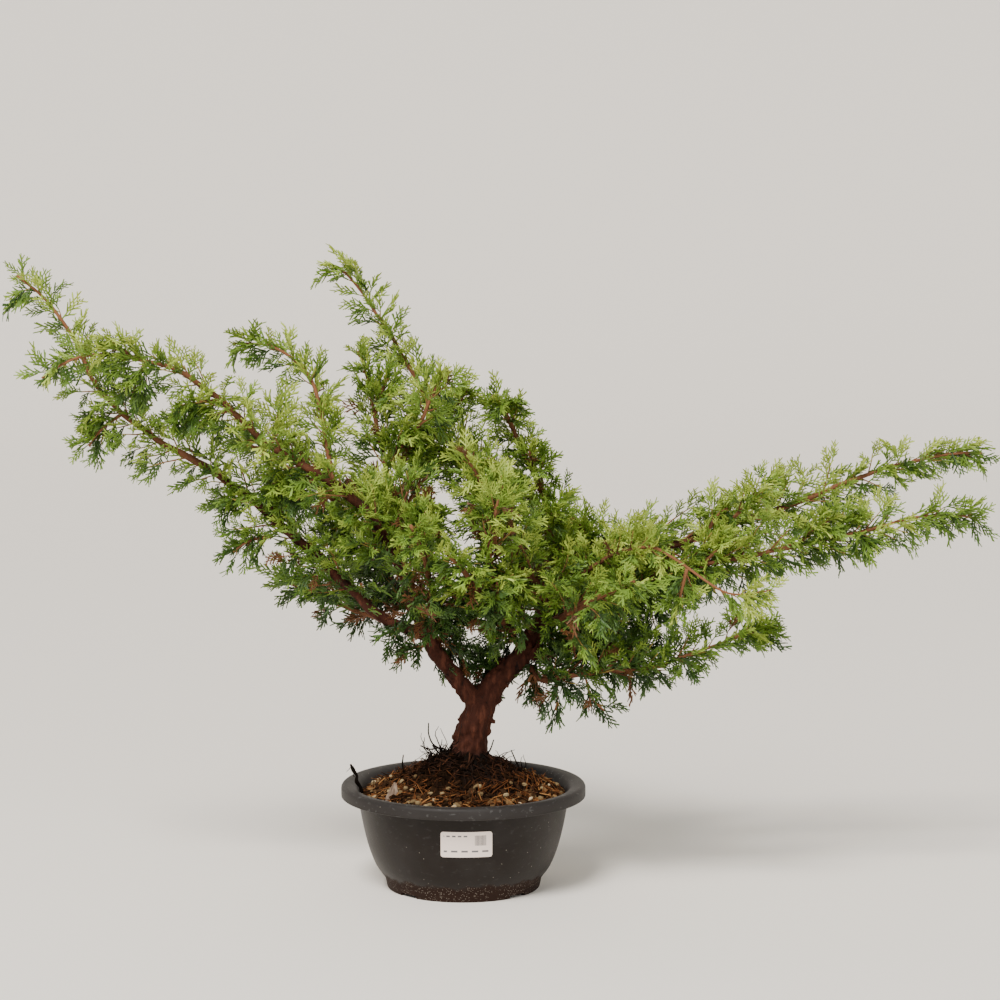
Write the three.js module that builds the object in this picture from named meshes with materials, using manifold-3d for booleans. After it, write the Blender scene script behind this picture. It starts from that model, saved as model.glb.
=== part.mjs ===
// Juniper bonsai in a round plastic training bowl.
// Millimetres, +Z up, front of the plant towards -Y. The bowl's axis is the working axis while the
// solids are built; the finished group is then centred over its bounding box.

import * as THREE from 'three';
import { mergeVertices } from 'three/addons/utils/BufferGeometryUtils.js';
import Module from 'manifold-3d';

const wasm = await Module();
wasm.setup();

// ------------------------------------------------------------------ driving dimensions (mm)

const GAP = 0.4; // clearance between neighbouring solids

const POT = {
  rimRadius: 120.6,
  height: 102.9,
  wall: 2.4,
  lipDrop: 12, // how far the outer lip hangs below the rim
  floorUnder: 6.5, // height of the floor's underside above the table
  floorTop: 9,
  footRadius: 75.5,
  footWidth: 4.5,
  segments: 36,
};

// Outside of the bowl's wall, foot to rim, as [radius, height].
const POT_WALL = [[77.5, 10], [86.2, 22], [92.8, 38], [97.6, 55.5], [101.6, 75.5], [105.4, 97.9]];

const FOOT_NOTCH = { count: 4, width: 21, height: 3 };
const DRAIN_SLOT = { count: 8, width: 3.6, inner: 20, outer: 52 };
const LABEL = { width: 50, height: 26, corner: 2.5, thickness: 0.4, centre: [4, 63] };

// Top of the soil mound, as [radius, height], from the wall to the trunk.
const SOIL_TOP = [[101, 91.5], [90, 95.5], [70, 104], [50, 114], [30, 124.5], [14, 132], [0, 133.5]];
const SOIL_LUMP = 0.8;

// Wood routes are [x, y, z, radius], from where a piece leaves its parent to its tip.
const TRUNK = [
  [5, 5, 95, 24], [6, 5, 131, 20.5], [7, 3, 143, 18], [10, 0, 159, 16.2], [16, 0, 174, 15.6],
  [20, 0, 186, 14.5],
];
const RIGHT_LIMB = [
  [20, 0, 184, 14], [29, 2, 199, 13], [47, 6, 218, 12.3], [60, 10, 232, 12], [77, 18, 259, 12],
  [84, 23, 276, 10],
];
const LEFT_LIMB = [
  [13, 0, 181, 11], [4, -2, 194, 10.5], [-9, -5, 211, 9.4], [-31, -11, 244, 9], [-35, -12, 258, 8],
];
const ROOT_FLARE = { angles: [20, 85, 140, 195, 250, 310], length: 34, drop: 24, radius: 6 };

const BEHIND = [0, 1, 0];
const BEFORE = [0, -1, 0];
const ABOVE = [0, 0, 1];

// Every branch, in the order in which it is fitted round the ones before it:
// leafyFrom = share of its length that is bare, shoots = number of leafy shoots, reach = longest
// shoot, side = the side of the wood that the foliage's spine runs along.
const BRANCHES = [
  {
    name: 'lower_left', leafyFrom: 0.3, shoots: 26, reach: 74, side: BEHIND, leaf: 'deep',
    route: [
      [-33, -12, 250, 6], [-76, -14, 269, 5.2], [-147, -22, 336, 4.6], [-232, -30, 410, 3.7],
      [-296, -36, 449, 2.9], [-350, -40, 498, 2.2], [-372, -42, 546, 1.8], [-400, -39, 583, 1.4],
      [-438, -32, 614, 1],
    ],
  },
  {
    name: 'upper_left', leafyFrom: 0.3, shoots: 24, reach: 62, side: BEFORE, leaf: 'light',
    route: [
      [-35, -12, 255, 7], [-51, -17, 296, 6], [-69, -24, 342, 5.2], [-111, -36, 394, 4.4],
      [-182, -50, 442, 3.4], [-246, -64, 501, 2.6], [-283, -70, 521, 2.1], [-345, -80, 533, 1.5],
      [-380, -85, 524, 1.2], [-409, -90, 499, 1],
    ],
  },
  {
    name: 'top', leafyFrom: 0.36, shoots: 18, reach: 60, side: BEFORE, leaf: 'light',
    route: [
      [80, 28, 268, 7], [66, 50, 312, 5.4], [41, 75, 355, 4.6], [-19, 104, 437, 3.3], [-54, 114, 501, 2.5],
      [-89, 120, 560, 1.8], [-123, 121, 601, 1.2], [-152, 118, 612, 1],
    ],
  },
  {
    name: 'upper_right', leafyFrom: 0.2, shoots: 24, reach: 62, side: BEHIND, leaf: 'light',
    route: [
      [82, 24, 268, 6.4], [126, 40, 302, 5.2], [225, 56, 338, 3.8], [314, 58, 368, 2.9], [408, 48, 406, 2],
      [461, 40, 421, 1.5], [490, 36, 427, 1.3], [524, 30, 423, 1],
    ],
  },
  {
    name: 'lower_right', leafyFrom: 0.36, shoots: 22, reach: 52, side: BEHIND, leaf: 'deep',
    route: [
      [80, 18, 258, 6], [144, -10, 290, 4.4], [202, -30, 318, 3.5], [262, -40, 331, 2.9], [384, -46, 359, 2],
      [441, -42, 373, 1.5], [483, -38, 373, 1.2], [516, -34, 368, 1],
    ],
  },
  {
    name: 'low_right', leafyFrom: 0.42, shoots: 16, reach: 48, side: BEHIND, leaf: 'deep',
    route: [
      [60, 8, 221, 4], [79, -8, 207, 3.6], [103, -20, 213, 3.2], [136, -32, 221, 2.8], [183, -44, 226, 2.4],
      [233, -56, 246, 1.8], [280, -64, 264, 1.3], [318, -68, 272, 1],
    ],
  },
  {
    name: 'inner_top', leafyFrom: 0.3, shoots: 14, reach: 58, side: BEHIND, leaf: 'light',
    route: [
      [-58, -18, 312, 4], [-68, 22, 352, 3.4], [-76, 60, 404, 2.7], [-88, 80, 450, 2.1], [-96, 88, 498, 1.6],
      [-112, 88, 536, 1],
    ],
  },
  {
    name: 'mid_left', leafyFrom: 0.25, shoots: 12, reach: 52, side: BEHIND, leaf: 'light',
    route: [
      [-66, -22, 336, 3.4], [-92, 6, 352, 3], [-162, 42, 404, 2.3], [-217, 55, 434, 1.6], [-243, 58, 440, 1],
    ],
  },
  {
    name: 'upright_left', leafyFrom: 0.25, shoots: 13, reach: 44, side: BEHIND, leaf: 'deep',
    route: [
      [-124, -39, 404, 2.6], [-132, -26, 444, 2.2], [-143, -14, 495, 1.8], [-158, -8, 517, 1.5],
      [-189, -2, 535, 1.2], [-240, 8, 536, 1],
    ],
  },
  {
    name: 'short_left', leafyFrom: 0.3, shoots: 6, reach: 34, side: BEHIND, leaf: 'light',
    route: [[-184, -50, 442, 1.8], [-176, -38, 466, 1.4], [-182, -30, 498, 1]],
  },
  {
    name: 'back_arch', leafyFrom: 0.32, shoots: 14, reach: 58, side: BEHIND, leaf: 'light',
    route: [
      [84, 26, 264, 6], [98, 62, 306, 4.8], [84, 88, 365, 3.8], [58, 102, 422, 2.7], [38, 104, 462, 1.9],
      [16, 98, 488, 1],
    ],
  },
  {
    name: 'front_centre', leafyFrom: 0.34, shoots: 13, reach: 52, side: BEHIND, leaf: 'light',
    route: [
      [80, 14, 262, 5], [88, -14, 290, 4], [62, -40, 318, 3.3], [41, -57, 355, 2.7], [17, -66, 410, 2],
      [-8, -66, 453, 1],
    ],
  },
  {
    name: 'centre', leafyFrom: 0.36, shoots: 12, reach: 50, side: BEHIND, leaf: 'light',
    route: [
      [70, 12, 246, 4], [50, -26, 288, 3.2], [30, -60, 320, 2.5], [26, -84, 356, 2], [36, -92, 401, 1.5],
      [46, -92, 432, 1],
    ],
  },
  {
    name: 'bare_front', leafyFrom: 0.72, shoots: 5, reach: 26, side: BEHIND, leaf: 'light',
    route: [
      [82, 16, 270, 4.4], [119, -24, 317, 3.4], [157, -58, 342, 2.7], [184, -78, 348, 2.3],
      [224, -98, 324, 1.8], [250, -108, 309, 1.4], [276, -114, 310, 1.1], [306, -120, 315, 1],
    ],
  },
  {
    name: 'front_left', leafyFrom: 0.34, shoots: 12, reach: 60, side: ABOVE, leaf: 'deep',
    route: [[-32, -14, 250, 4], [-28, -50, 291, 3.2], [-41, -114, 359, 2.1], [-54, -136, 388, 1.2]],
  },
  {
    name: 'front_middle', leafyFrom: 0.4, shoots: 13, reach: 60, side: ABOVE, leaf: 'deep',
    route: [[62, 8, 234, 4.2], [38, -40, 270, 3.4], [-2, -116, 335, 2.1], [-24, -140, 362, 1.2]],
  },
  {
    name: 'front_right', leafyFrom: 0.36, shoots: 13, reach: 60, side: ABOVE, leaf: 'deep',
    route: [[76, 12, 254, 4.4], [124, -94, 300, 2.8], [172, -152, 330, 1.2]],
  },
  {
    name: 'back_left', leafyFrom: 0.3, shoots: 14, reach: 66, side: ABOVE, leaf: 'deep',
    route: [[-33, -8, 252, 4.4], [-81, 84, 299, 3], [-138, 152, 340, 1.2]],
  },
  {
    name: 'back_middle', leafyFrom: 0.36, shoots: 13, reach: 62, side: ABOVE, leaf: 'deep',
    route: [[78, 26, 258, 4.6], [70, 112, 300, 3.1], [76, 176, 348, 1.2]],
  },
  {
    name: 'back_right', leafyFrom: 0.3, shoots: 15, reach: 66, side: ABOVE, leaf: 'deep',
    route: [[82, 26, 260, 4.6], [152, 110, 286, 3.1], [226, 174, 306, 1.2]],
  },
  {
    name: 'back_low_left', leafyFrom: 0.3, shoots: 13, reach: 60, side: ABOVE, leaf: 'deep',
    route: [[-60, -13, 262, 3.4], [-120, 46, 272, 2.4], [-198, 98, 297, 1]],
  },
  {
    name: 'first_hanging', leafyFrom: 0.25, shoots: 5, reach: 22, side: BEHIND, leaf: 'deep',
    route: [[91, -15, 210, 1.5], [92, -24, 193, 1.2], [87, -30, 166, 1]],
  },
  {
    name: 'second_hanging', leafyFrom: 0.25, shoots: 6, reach: 22, side: BEHIND, leaf: 'deep',
    route: [[118, -27, 218, 1.5], [120, -40, 199, 1.2], [142, -48, 185, 1.1], [150, -50, 174, 1]],
  },
];

const SHOOT = { widthShare: 0.34, thickness: 4.5, closeAngle: 34, wideAngle: 62 };
const SPINE_RADIUS = 1.3;

// Loose pieces on the soil: [azimuth in degrees, distance from the axis, size].
const GRIT = [[-60, 78, 6.5], [-112, 86, 5.5], [-20, 84, 6], [160, 70, 6]];
const BARK_CHIP = { azimuth: 215, distance: 84, size: [20, 9, 5] };
const DEAD_TWIG = [[-99, -22, 98.5, 1.6], [-104, -30, 116, 1.5], [-110, -38, 128, 1.2]];

// ------------------------------------------------------------------ finishes

const finish = (color, roughness) => new THREE.MeshStandardMaterial({ color, roughness, metalness: 0 });

const FINISHES = {
  pot: finish(0x2b2c2e, 0.5),
  label: finish(0xf1f1ee, 0.45),
  soil: finish(0x3a281d, 0.95),
  grit: finish(0xc3ab86, 0.9),
  chip: finish(0x8a7f72, 0.85),
  bark: finish(0x6a3b28, 0.85),
  light: finish(0x83a436, 0.6),
  deep: finish(0x49702c, 0.6),
};

// ------------------------------------------------------------------ solids

/** Turns a closed geometry into a solid that can be joined and cut. */
function solid(geometry) {
  const bare = geometry.clone();
  bare.deleteAttribute('normal');
  bare.deleteAttribute('uv');
  const welded = mergeVertices(bare, 1e-4);
  const triVerts = [];
  for (let i = 0; i < welded.index.count; i += 3) {
    const [a, b, c] = [0, 1, 2].map((k) => welded.index.getX(i + k));
    if (a !== b && b !== c && c !== a) triVerts.push(a, b, c);
  }
  return new wasm.Manifold(new wasm.Mesh({
    numProp: 3,
    vertProperties: Float32Array.from(welded.attributes.position.array),
    triVerts: Uint32Array.from(triVerts),
  }));
}

/** The biggest of the separate bodies that a cut leaves. */
function biggest(body) {
  return body.decompose().reduce((best, piece) => (piece.volume() > best.volume() ? piece : best));
}

/** Wraps a solid as a named mesh with its own copy of a finish. */
function mesh(name, body, finishName) {
  const { vertProperties, triVerts } = body.getMesh();
  const geometry = new THREE.BufferGeometry();
  geometry.setAttribute('position', new THREE.BufferAttribute(Float32Array.from(vertProperties), 3));
  geometry.setIndex(new THREE.BufferAttribute(Uint32Array.from(triVerts), 1));
  geometry.computeVertexNormals();
  const piece = new THREE.Mesh(geometry, FINISHES[finishName].clone());
  piece.name = name;
  return piece;
}

/** Seeded random numbers from 0 to 1, so that the plant grows the same way each time. */
function randomNumbers(seed) {
  let state = seed;
  return () => {
    state = (state * 1664525 + 1013904223) % 4294967296;
    return state / 4294967296;
  };
}

/** Solid of revolution about the Z axis from [radius, height] points. */
function turned(profile, segments) {
  const points = profile.map(([radius, height]) => new THREE.Vector2(radius, height));
  return new THREE.LatheGeometry(points, segments).rotateX(Math.PI / 2);
}

/** Centre line of a wood route, with the radius at any share of its length. */
function centreLine(route) {
  const points = route.map(([x, y, z]) => new THREE.Vector3(x, y, z));
  const curve = new THREE.CatmullRomCurve3(points, false, 'centripetal');
  curve.radiusAt = (share) => {
    const place = curve.getUtoTmapping(share) * (route.length - 1);
    const index = Math.min(Math.floor(place), route.length - 2);
    return THREE.MathUtils.lerp(route[index][3], route[index + 1][3], place - index);
  };
  return curve;
}

/** Round tapering solid along a route; extra makes it fatter and longer by that much. */
function limb(route, { sides = 6, step = 28, extra = 0 } = {}) {
  const curve = centreLine(route);
  const rings = Math.max(2, Math.round(curve.getLength() / step));
  const frames = curve.computeFrenetFrames(rings);
  const geometry = new THREE.CylinderGeometry(1, 1, rings, sides, rings);
  const corners = geometry.attributes.position;
  const corner = new THREE.Vector3();
  for (let i = 0; i < corners.count; i += 1) {
    corner.fromBufferAttribute(corners, i);
    const ring = Math.round(corner.y + rings / 2);
    const radius = curve.radiusAt(ring / rings) + extra;
    const overrun = { 0: -extra, [rings]: extra }[ring] ?? 0;
    const place = curve.getPointAt(ring / rings)
      .addScaledVector(frames.tangents[ring], overrun)
      .addScaledVector(frames.binormals[ring], corner.x * radius)
      .addScaledVector(frames.normals[ring], corner.z * radius);
    corners.setXYZ(i, place.x, place.y, place.z);
  }
  return solid(geometry);
}

// ------------------------------------------------------------------ bowl, label and soil

const POT_WALL_CURVE = new THREE.SplineCurve(POT_WALL.map((point) => new THREE.Vector2(...point)));

/** The wall's [radius, height] points, moved in or out by an offset. */
function wallPoints(offset, count = 7) {
  return POT_WALL_CURVE.getPoints(count).map((point) => [point.x + offset, point.y]);
}

/** Bowl: floor, foot ring, flared wall and a flanged rim with a hanging lip. */
function potSolid() {
  const { rimRadius, height, wall, lipDrop, floorUnder, floorTop, footRadius, footWidth, segments } = POT;
  const footInner = footRadius - footWidth;
  const inside = wallPoints(-wall).reverse().filter(([, z]) => z > floorTop + 4);
  const profile = [
    [0, floorUnder], [footInner - 2, floorUnder], [footInner, 0], [footRadius, 0],
    ...wallPoints(0),
    [rimRadius - 3.6, height - 3.4], [rimRadius - 3, height - 6], [rimRadius - 3.2, height - lipDrop],
    [rimRadius - 1, height - lipDrop], [rimRadius, height - 9], [rimRadius, height - 4],
    [rimRadius - 1, height - 1.2], [rimRadius - 3.4, height], [108, height - 0.8], [105.4, height - 2.4],
    ...inside,
    [73, floorTop + 1.5], [66, floorTop], [0, floorTop],
  ];
  let body = solid(turned(profile, segments));
  for (let i = 0; i < FOOT_NOTCH.count; i += 1) {
    const notch = new THREE.BoxGeometry(2 * footWidth + 6, FOOT_NOTCH.width, 2 * FOOT_NOTCH.height)
      .translate(footRadius - footWidth / 2, 0, 0)
      .rotateZ(((i + 0.5) * 2 * Math.PI) / FOOT_NOTCH.count);
    body = body.subtract(solid(notch));
  }
  for (let i = 0; i < DRAIN_SLOT.count; i += 1) {
    const slot = new THREE.BoxGeometry(DRAIN_SLOT.outer - DRAIN_SLOT.inner, DRAIN_SLOT.width, 3 * floorTop)
      .translate((DRAIN_SLOT.outer + DRAIN_SLOT.inner) / 2, 0, floorTop)
      .rotateZ((i * 2 * Math.PI) / DRAIN_SLOT.count);
    body = body.subtract(solid(slot));
  }
  return body;
}

/** Rounded rectangular sticker, wrapped round the front of the wall. */
function labelSolid() {
  const { width, height, corner, thickness, centre } = LABEL;
  const [x, y] = [width / 2 - corner, height / 2 - corner];
  const outline = new THREE.Shape();
  outline.absarc(x, y, corner, 0, Math.PI / 2);
  outline.absarc(-x, y, corner, Math.PI / 2, Math.PI);
  outline.absarc(-x, -y, corner, Math.PI, 1.5 * Math.PI);
  outline.absarc(x, -y, corner, 1.5 * Math.PI, 2 * Math.PI);
  const options = { depth: POT.rimRadius, bevelEnabled: false, curveSegments: 4 };
  const prism = new THREE.ExtrudeGeometry(outline, options)
    .rotateX(Math.PI / 2)
    .translate(centre[0], 0, centre[1]);
  const outer = wallPoints(GAP + thickness);
  const inner = wallPoints(GAP).reverse();
  const shell = turned([...outer, ...inner, outer[0]], 2 * POT.segments);
  return solid(shell).intersect(solid(prism));
}

/** Height of the soil's surface at a distance from the axis. */
function soilHeight(distance) {
  const index = SOIL_TOP.findIndex(([radius]) => radius <= distance);
  const [outerRadius, outerHeight] = SOIL_TOP[Math.max(index - 1, 0)];
  const [innerRadius, innerHeight] = SOIL_TOP[Math.max(index, 1)];
  const share = (distance - innerRadius) / (outerRadius - innerRadius);
  return THREE.MathUtils.lerp(innerHeight, outerHeight, share);
}

/** Mound of soil that fills the bowl, with sockets for everything that sits in it. */
function soilSolid(sockets) {
  const bottom = POT.floorTop + GAP;
  const isBelowTop = ([radius, z]) => z > POT.floorTop + 4 && radius < SOIL_TOP[0][0] - 2;
  const side = wallPoints(-POT.wall - GAP).filter(isBelowTop);
  const profile = [[0, bottom], [65, bottom], [72, POT.floorTop + 2.5], ...side, ...SOIL_TOP];
  const geometry = turned(profile, POT.segments);
  const corners = geometry.attributes.position;
  for (let i = 0; i < corners.count; i += 1) {
    const [x, y, z] = [corners.getX(i), corners.getY(i), corners.getZ(i)];
    const lump = Math.sin(x * 0.21) * Math.cos(y * 0.27) + 0.6 * Math.sin(0.5 * (x - y));
    if (z > SOIL_TOP[0][1] + 1) corners.setZ(i, z + SOIL_LUMP * lump);
  }
  return sockets.reduce((body, socket) => body.subtract(socket), solid(geometry));
}

/** A rough stone or chip, turned about Z and half sunk in the soil. */
function loosePiece(geometry, azimuth, distance, extra) {
  const angle = THREE.MathUtils.degToRad(azimuth);
  geometry.computeBoundingBox();
  const size = geometry.boundingBox.getSize(new THREE.Vector3());
  geometry.scale(...size.toArray().map((side) => 1 + (2 * extra) / side));
  geometry.rotateY(0.3).rotateZ(angle);
  return solid(geometry.translate(
    distance * Math.cos(angle),
    distance * Math.sin(angle),
    soilHeight(distance) + 0.15 * size.z,
  ));
}

const gritPiece = ([azimuth, distance, size], extra = 0) => (
  loosePiece(new THREE.IcosahedronGeometry(size / 2, 0).scale(1.2, 1, 0.9), azimuth, distance, extra)
);

const chipPiece = ({ azimuth, distance, size }, extra = 0) => (
  loosePiece(new THREE.BoxGeometry(...size), azimuth, distance, extra)
);

// ------------------------------------------------------------------ wood

/** Trunk with the roots that flare out of its base into the soil. */
function trunkSolid(extra = 0) {
  const [baseX, baseY] = TRUNK[1];
  const baseZ = TRUNK[1][2];
  const roots = ROOT_FLARE.angles.map((degrees) => {
    const angle = THREE.MathUtils.degToRad(degrees);
    const along = [0.2, 0.6, 1].map((share) => [
      baseX + ROOT_FLARE.length * share * Math.cos(angle),
      baseY + ROOT_FLARE.length * share * Math.sin(angle),
      baseZ + 4 - ROOT_FLARE.drop * share ** 1.4,
      ROOT_FLARE.radius * (1.25 - 0.8 * share),
    ]);
    return limb(along, { sides: 6, step: 12, extra });
  });
  return roots.reduce((body, root) => body.add(root), limb(TRUNK, { sides: 12, step: 13, extra }));
}

// ------------------------------------------------------------------ foliage

/** The part of a side direction that is square to a tangent, at unit length. */
function squareTo(tangent, side) {
  const direction = new THREE.Vector3(...side);
  return direction.addScaledVector(tangent, -direction.dot(tangent)).normalize();
}

/** Thin leafy spine that runs along the leafy stretch of a branch, just clear of its wood. */
function spineRoute({ route, leafyFrom, side }) {
  const curve = centreLine(route);
  const steps = Math.max(3, Math.round((curve.getLength() * (1 - leafyFrom)) / 34));
  return Array.from({ length: steps + 1 }, (_, i) => {
    const share = leafyFrom + ((1 - leafyFrom) * i) / steps;
    const lift = curve.radiusAt(share) + SPINE_RADIUS + 2 * GAP;
    const point = curve.getPointAt(share).addScaledVector(squareTo(curve.getTangentAt(share), side), lift);
    return [...point.toArray(), SPINE_RADIUS];
  });
}

/** One flat, pointed spray of scale leaves: a stretched octahedron from a base point. */
function shootSolid(base, direction, broadSide, length) {
  const across = new THREE.Vector3().crossVectors(direction, broadSide).normalize();
  const normal = new THREE.Vector3().crossVectors(across, direction);
  const place = new THREE.Matrix4().makeBasis(
    across.multiplyScalar((SHOOT.widthShare * length) / 2),
    direction.clone().multiplyScalar(length / 2),
    normal.multiplyScalar(SHOOT.thickness / 2),
  );
  place.setPosition(base.clone().addScaledVector(direction, length / 2));
  return solid(new THREE.OctahedronGeometry(1, 0).applyMatrix4(place));
}

/** All the shoots of one branch, set alternately on both sides of its spine. */
function shootSolids({ shoots, reach, side }, spine, random) {
  const curve = centreLine(spine);
  const { closeAngle, wideAngle } = SHOOT;
  return Array.from({ length: shoots }, (_, i) => {
    const share = i / (shoots - 1);
    const tangent = curve.getTangentAt(share);
    const broadSide = squareTo(tangent, side);
    const across = new THREE.Vector3().crossVectors(tangent, broadSide).multiplyScalar(i % 2 ? 1 : -1);
    const tilt = THREE.MathUtils.degToRad(-20 + 75 * random());
    const outward = across.multiplyScalar(Math.cos(tilt)).addScaledVector(broadSide, Math.sin(tilt));
    const angle = THREE.MathUtils.lerp(wideAngle, closeAngle, share) * (0.8 + 0.4 * random());
    const turn = share === 1 ? 0 : THREE.MathUtils.degToRad(angle);
    const direction = tangent.multiplyScalar(Math.cos(turn)).addScaledVector(outward, Math.sin(turn));
    const length = reach * (1 - 0.6 * share) * (0.75 + 0.35 * random());
    return shootSolid(curve.getPointAt(share), direction, broadSide, length);
  });
}

/** Foliage of every branch: spine and shoots joined, kept clear of wood and of each other. */
function foliageSolids(wood) {
  const random = randomNumbers(7);
  const routes = BRANCHES.map(spineRoute);
  const spines = routes.map((route) => limb(route, { sides: 4, step: 30 }).subtract(wood));
  const grown = [];
  BRANCHES.forEach((branch, index) => {
    const neighbours = [...grown, ...spines.filter((_, other) => other > index)];
    const isFree = (shoot) => neighbours.every((neighbour) => shoot.intersect(neighbour).isEmpty());
    const shoots = shootSolids(branch, routes[index], random).filter(isFree);
    const joined = shoots.reduce((body, shoot) => body.add(shoot), spines[index]);
    grown.push(biggest(joined.subtract(wood)));
  });
  return grown;
}

// ------------------------------------------------------------------ assembly

function buildTree() {
  const tree = new THREE.Group();
  tree.name = 'juniper_bonsai';
  const add = (name, body, finishName) => tree.add(mesh(name, body, finishName));

  add('pot', potSolid(), 'pot');
  add('label', labelSolid(), 'label');

  const grit = GRIT.map((place) => gritPiece(place));
  const sunk = [
    ...GRIT.map((place) => gritPiece(place, GAP)),
    chipPiece(BARK_CHIP, GAP),
    limb(DEAD_TWIG, { extra: GAP, step: 12 }),
    trunkSolid(GAP),
  ];
  add('soil', biggest(soilSolid(sunk)), 'soil');
  grit.forEach((body, i) => add(`grit_stone_${i + 1}`, body, 'grit'));
  add('bark_chip', chipPiece(BARK_CHIP), 'chip');
  add('dead_twig', limb(DEAD_TWIG, { step: 12 }), 'bark');

  // Each piece of wood is trimmed to clear everything that was fitted before it.
  let taken = trunkSolid(GAP);
  add('trunk', trunkSolid(), 'bark');
  const fit = (name, route, options) => {
    add(name, biggest(limb(route, options).subtract(taken)), 'bark');
    taken = taken.add(limb(route, { ...options, extra: GAP }));
  };
  fit('right_limb', RIGHT_LIMB, { sides: 10, step: 14 });
  fit('left_limb', LEFT_LIMB, { sides: 9, step: 14 });
  BRANCHES.forEach(({ name, route }) => fit(`${name}_branch`, route, { sides: 6 }));

  foliageSolids(taken).forEach((body, i) => {
    const { name, leaf } = BRANCHES[i];
    add(`${name}_foliage`, body, leaf);
  });

  const centre = new THREE.Box3().setFromObject(tree).getCenter(new THREE.Vector3());
  tree.position.set(-centre.x, -centre.y, 0);
  return tree;
}

export default buildTree();
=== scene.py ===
"""A juniper bonsai in a round black training bowl: bowl, sticker, soil, wood and foliage."""

import logging
import math
from collections.abc import Iterable, Sequence
from dataclasses import dataclass, field
from enum import Enum
from typing import ClassVar

import bpy
import numpy as np
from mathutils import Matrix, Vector, noise


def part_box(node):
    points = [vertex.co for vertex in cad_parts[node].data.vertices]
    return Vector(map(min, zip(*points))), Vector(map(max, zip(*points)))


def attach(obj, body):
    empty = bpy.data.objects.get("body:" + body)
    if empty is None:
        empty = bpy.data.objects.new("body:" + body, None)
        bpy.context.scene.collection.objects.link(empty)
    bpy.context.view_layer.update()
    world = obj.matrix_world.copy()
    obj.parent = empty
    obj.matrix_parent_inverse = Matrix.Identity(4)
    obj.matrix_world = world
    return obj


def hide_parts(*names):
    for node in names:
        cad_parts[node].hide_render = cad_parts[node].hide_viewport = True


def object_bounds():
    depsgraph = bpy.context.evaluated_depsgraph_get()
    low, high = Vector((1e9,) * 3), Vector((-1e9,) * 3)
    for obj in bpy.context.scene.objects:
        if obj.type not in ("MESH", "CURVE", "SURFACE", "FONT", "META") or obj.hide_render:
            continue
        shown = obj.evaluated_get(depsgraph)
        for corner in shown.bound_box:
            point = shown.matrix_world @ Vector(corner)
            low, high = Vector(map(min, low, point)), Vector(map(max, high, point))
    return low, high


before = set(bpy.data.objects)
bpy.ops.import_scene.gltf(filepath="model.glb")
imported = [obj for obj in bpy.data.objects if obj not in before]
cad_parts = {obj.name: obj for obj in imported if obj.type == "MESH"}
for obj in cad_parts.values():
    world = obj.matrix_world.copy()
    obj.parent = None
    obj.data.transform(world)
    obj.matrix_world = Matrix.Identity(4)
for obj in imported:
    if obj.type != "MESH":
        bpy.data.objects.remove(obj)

LOG = logging.getLogger("bonsai")
CAD_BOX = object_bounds()
BOWL_LOW, BOWL_HIGH = (Vector(corner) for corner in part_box("pot"))
AXIS = Vector(((BOWL_LOW.x + BOWL_HIGH.x) / 2, (BOWL_LOW.y + BOWL_HIGH.y) / 2, 0.0))
UP = np.array((0.0, 0.0, 1.0))
BACK = np.array((0.0, 1.0, 0.0))
NOISE_SEED = 5
OVERHANG = 0.35  # share of its reach past the CAD box that a tip keeps

Array = np.ndarray
Colour = tuple[float, float, float]
Piece = bpy.types.Object
Socket = bpy.types.NodeSocket


# ---------------------------------------------------------------- mesh helpers


def activate(piece: Piece) -> None:
    """Makes one object the only selected one and the active one."""
    if bpy.context.object and bpy.context.object.mode != "OBJECT":
        bpy.ops.object.mode_set(mode="OBJECT")
    bpy.ops.object.select_all(action="DESELECT")
    piece.select_set(True)
    bpy.context.view_layer.objects.active = piece


def linked(name: str, data: bpy.types.ID) -> Piece:
    """Puts a new object in the scene.

    Args:
        name: Its name.
        data: Its mesh, light or camera.

    Returns:
        The object.
    """
    made = bpy.data.objects.new(name, data)
    bpy.context.scene.collection.objects.link(made)
    return made


def settle(piece: Piece, name: str) -> Piece:
    """Names a piece and moves its place, turn and size into its mesh.

    Args:
        piece: The object to settle.
        name: Its new name.

    Returns:
        The same object.
    """
    activate(piece)
    bpy.ops.object.transform_apply(location=True, rotation=True, scale=True)
    piece.name = name
    piece.data.name = name
    return piece


def modify(piece: Piece, kind: str, **settings: object) -> None:
    """Adds a modifier with these settings and applies it.

    Args:
        piece: The mesh object to change.
        kind: The modifier's type, such as "BEVEL".
        **settings: Values for the modifier's own properties.
    """
    activate(piece)
    modifier = piece.modifiers.new(kind.title(), kind)
    for key, value in settings.items():
        setattr(modifier, key, value)
    bpy.ops.object.modifier_apply(modifier=modifier.name)


def joined(pieces: Sequence[Piece], name: str) -> Piece:
    """Joins objects into the first one.

    Args:
        pieces: The objects, at least one.
        name: The name of the result.

    Returns:
        The joined object.
    """
    activate(pieces[0])
    for piece in pieces:
        piece.select_set(True)
    bpy.ops.object.join()
    return settle(pieces[0], name)


def node_copy(nodes: Sequence[str], name: str) -> Piece:
    """A welded copy of some CAD nodes, joined into one object.

    Args:
        nodes: The CAD nodes' names.
        name: The name of the copy.

    Returns:
        The new object.
    """
    copies = []
    for node in nodes:
        copy = linked(node + "_copy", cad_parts[node].data.copy())
        copy.data.materials.clear()
        copies.append(copy)
    piece = joined(copies, name)
    bpy.ops.object.mode_set(mode="EDIT")
    bpy.ops.mesh.select_all(action="SELECT")
    bpy.ops.mesh.remove_doubles(threshold=1e-6)
    bpy.ops.object.mode_set(mode="OBJECT")
    return piece


def corners_of(piece: Piece) -> Array:
    """All the corners of a mesh object, as rows of x, y, z."""
    flat = np.empty(3 * len(piece.data.vertices))
    piece.data.vertices.foreach_get("co", flat)
    return flat.reshape(-1, 3)


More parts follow.
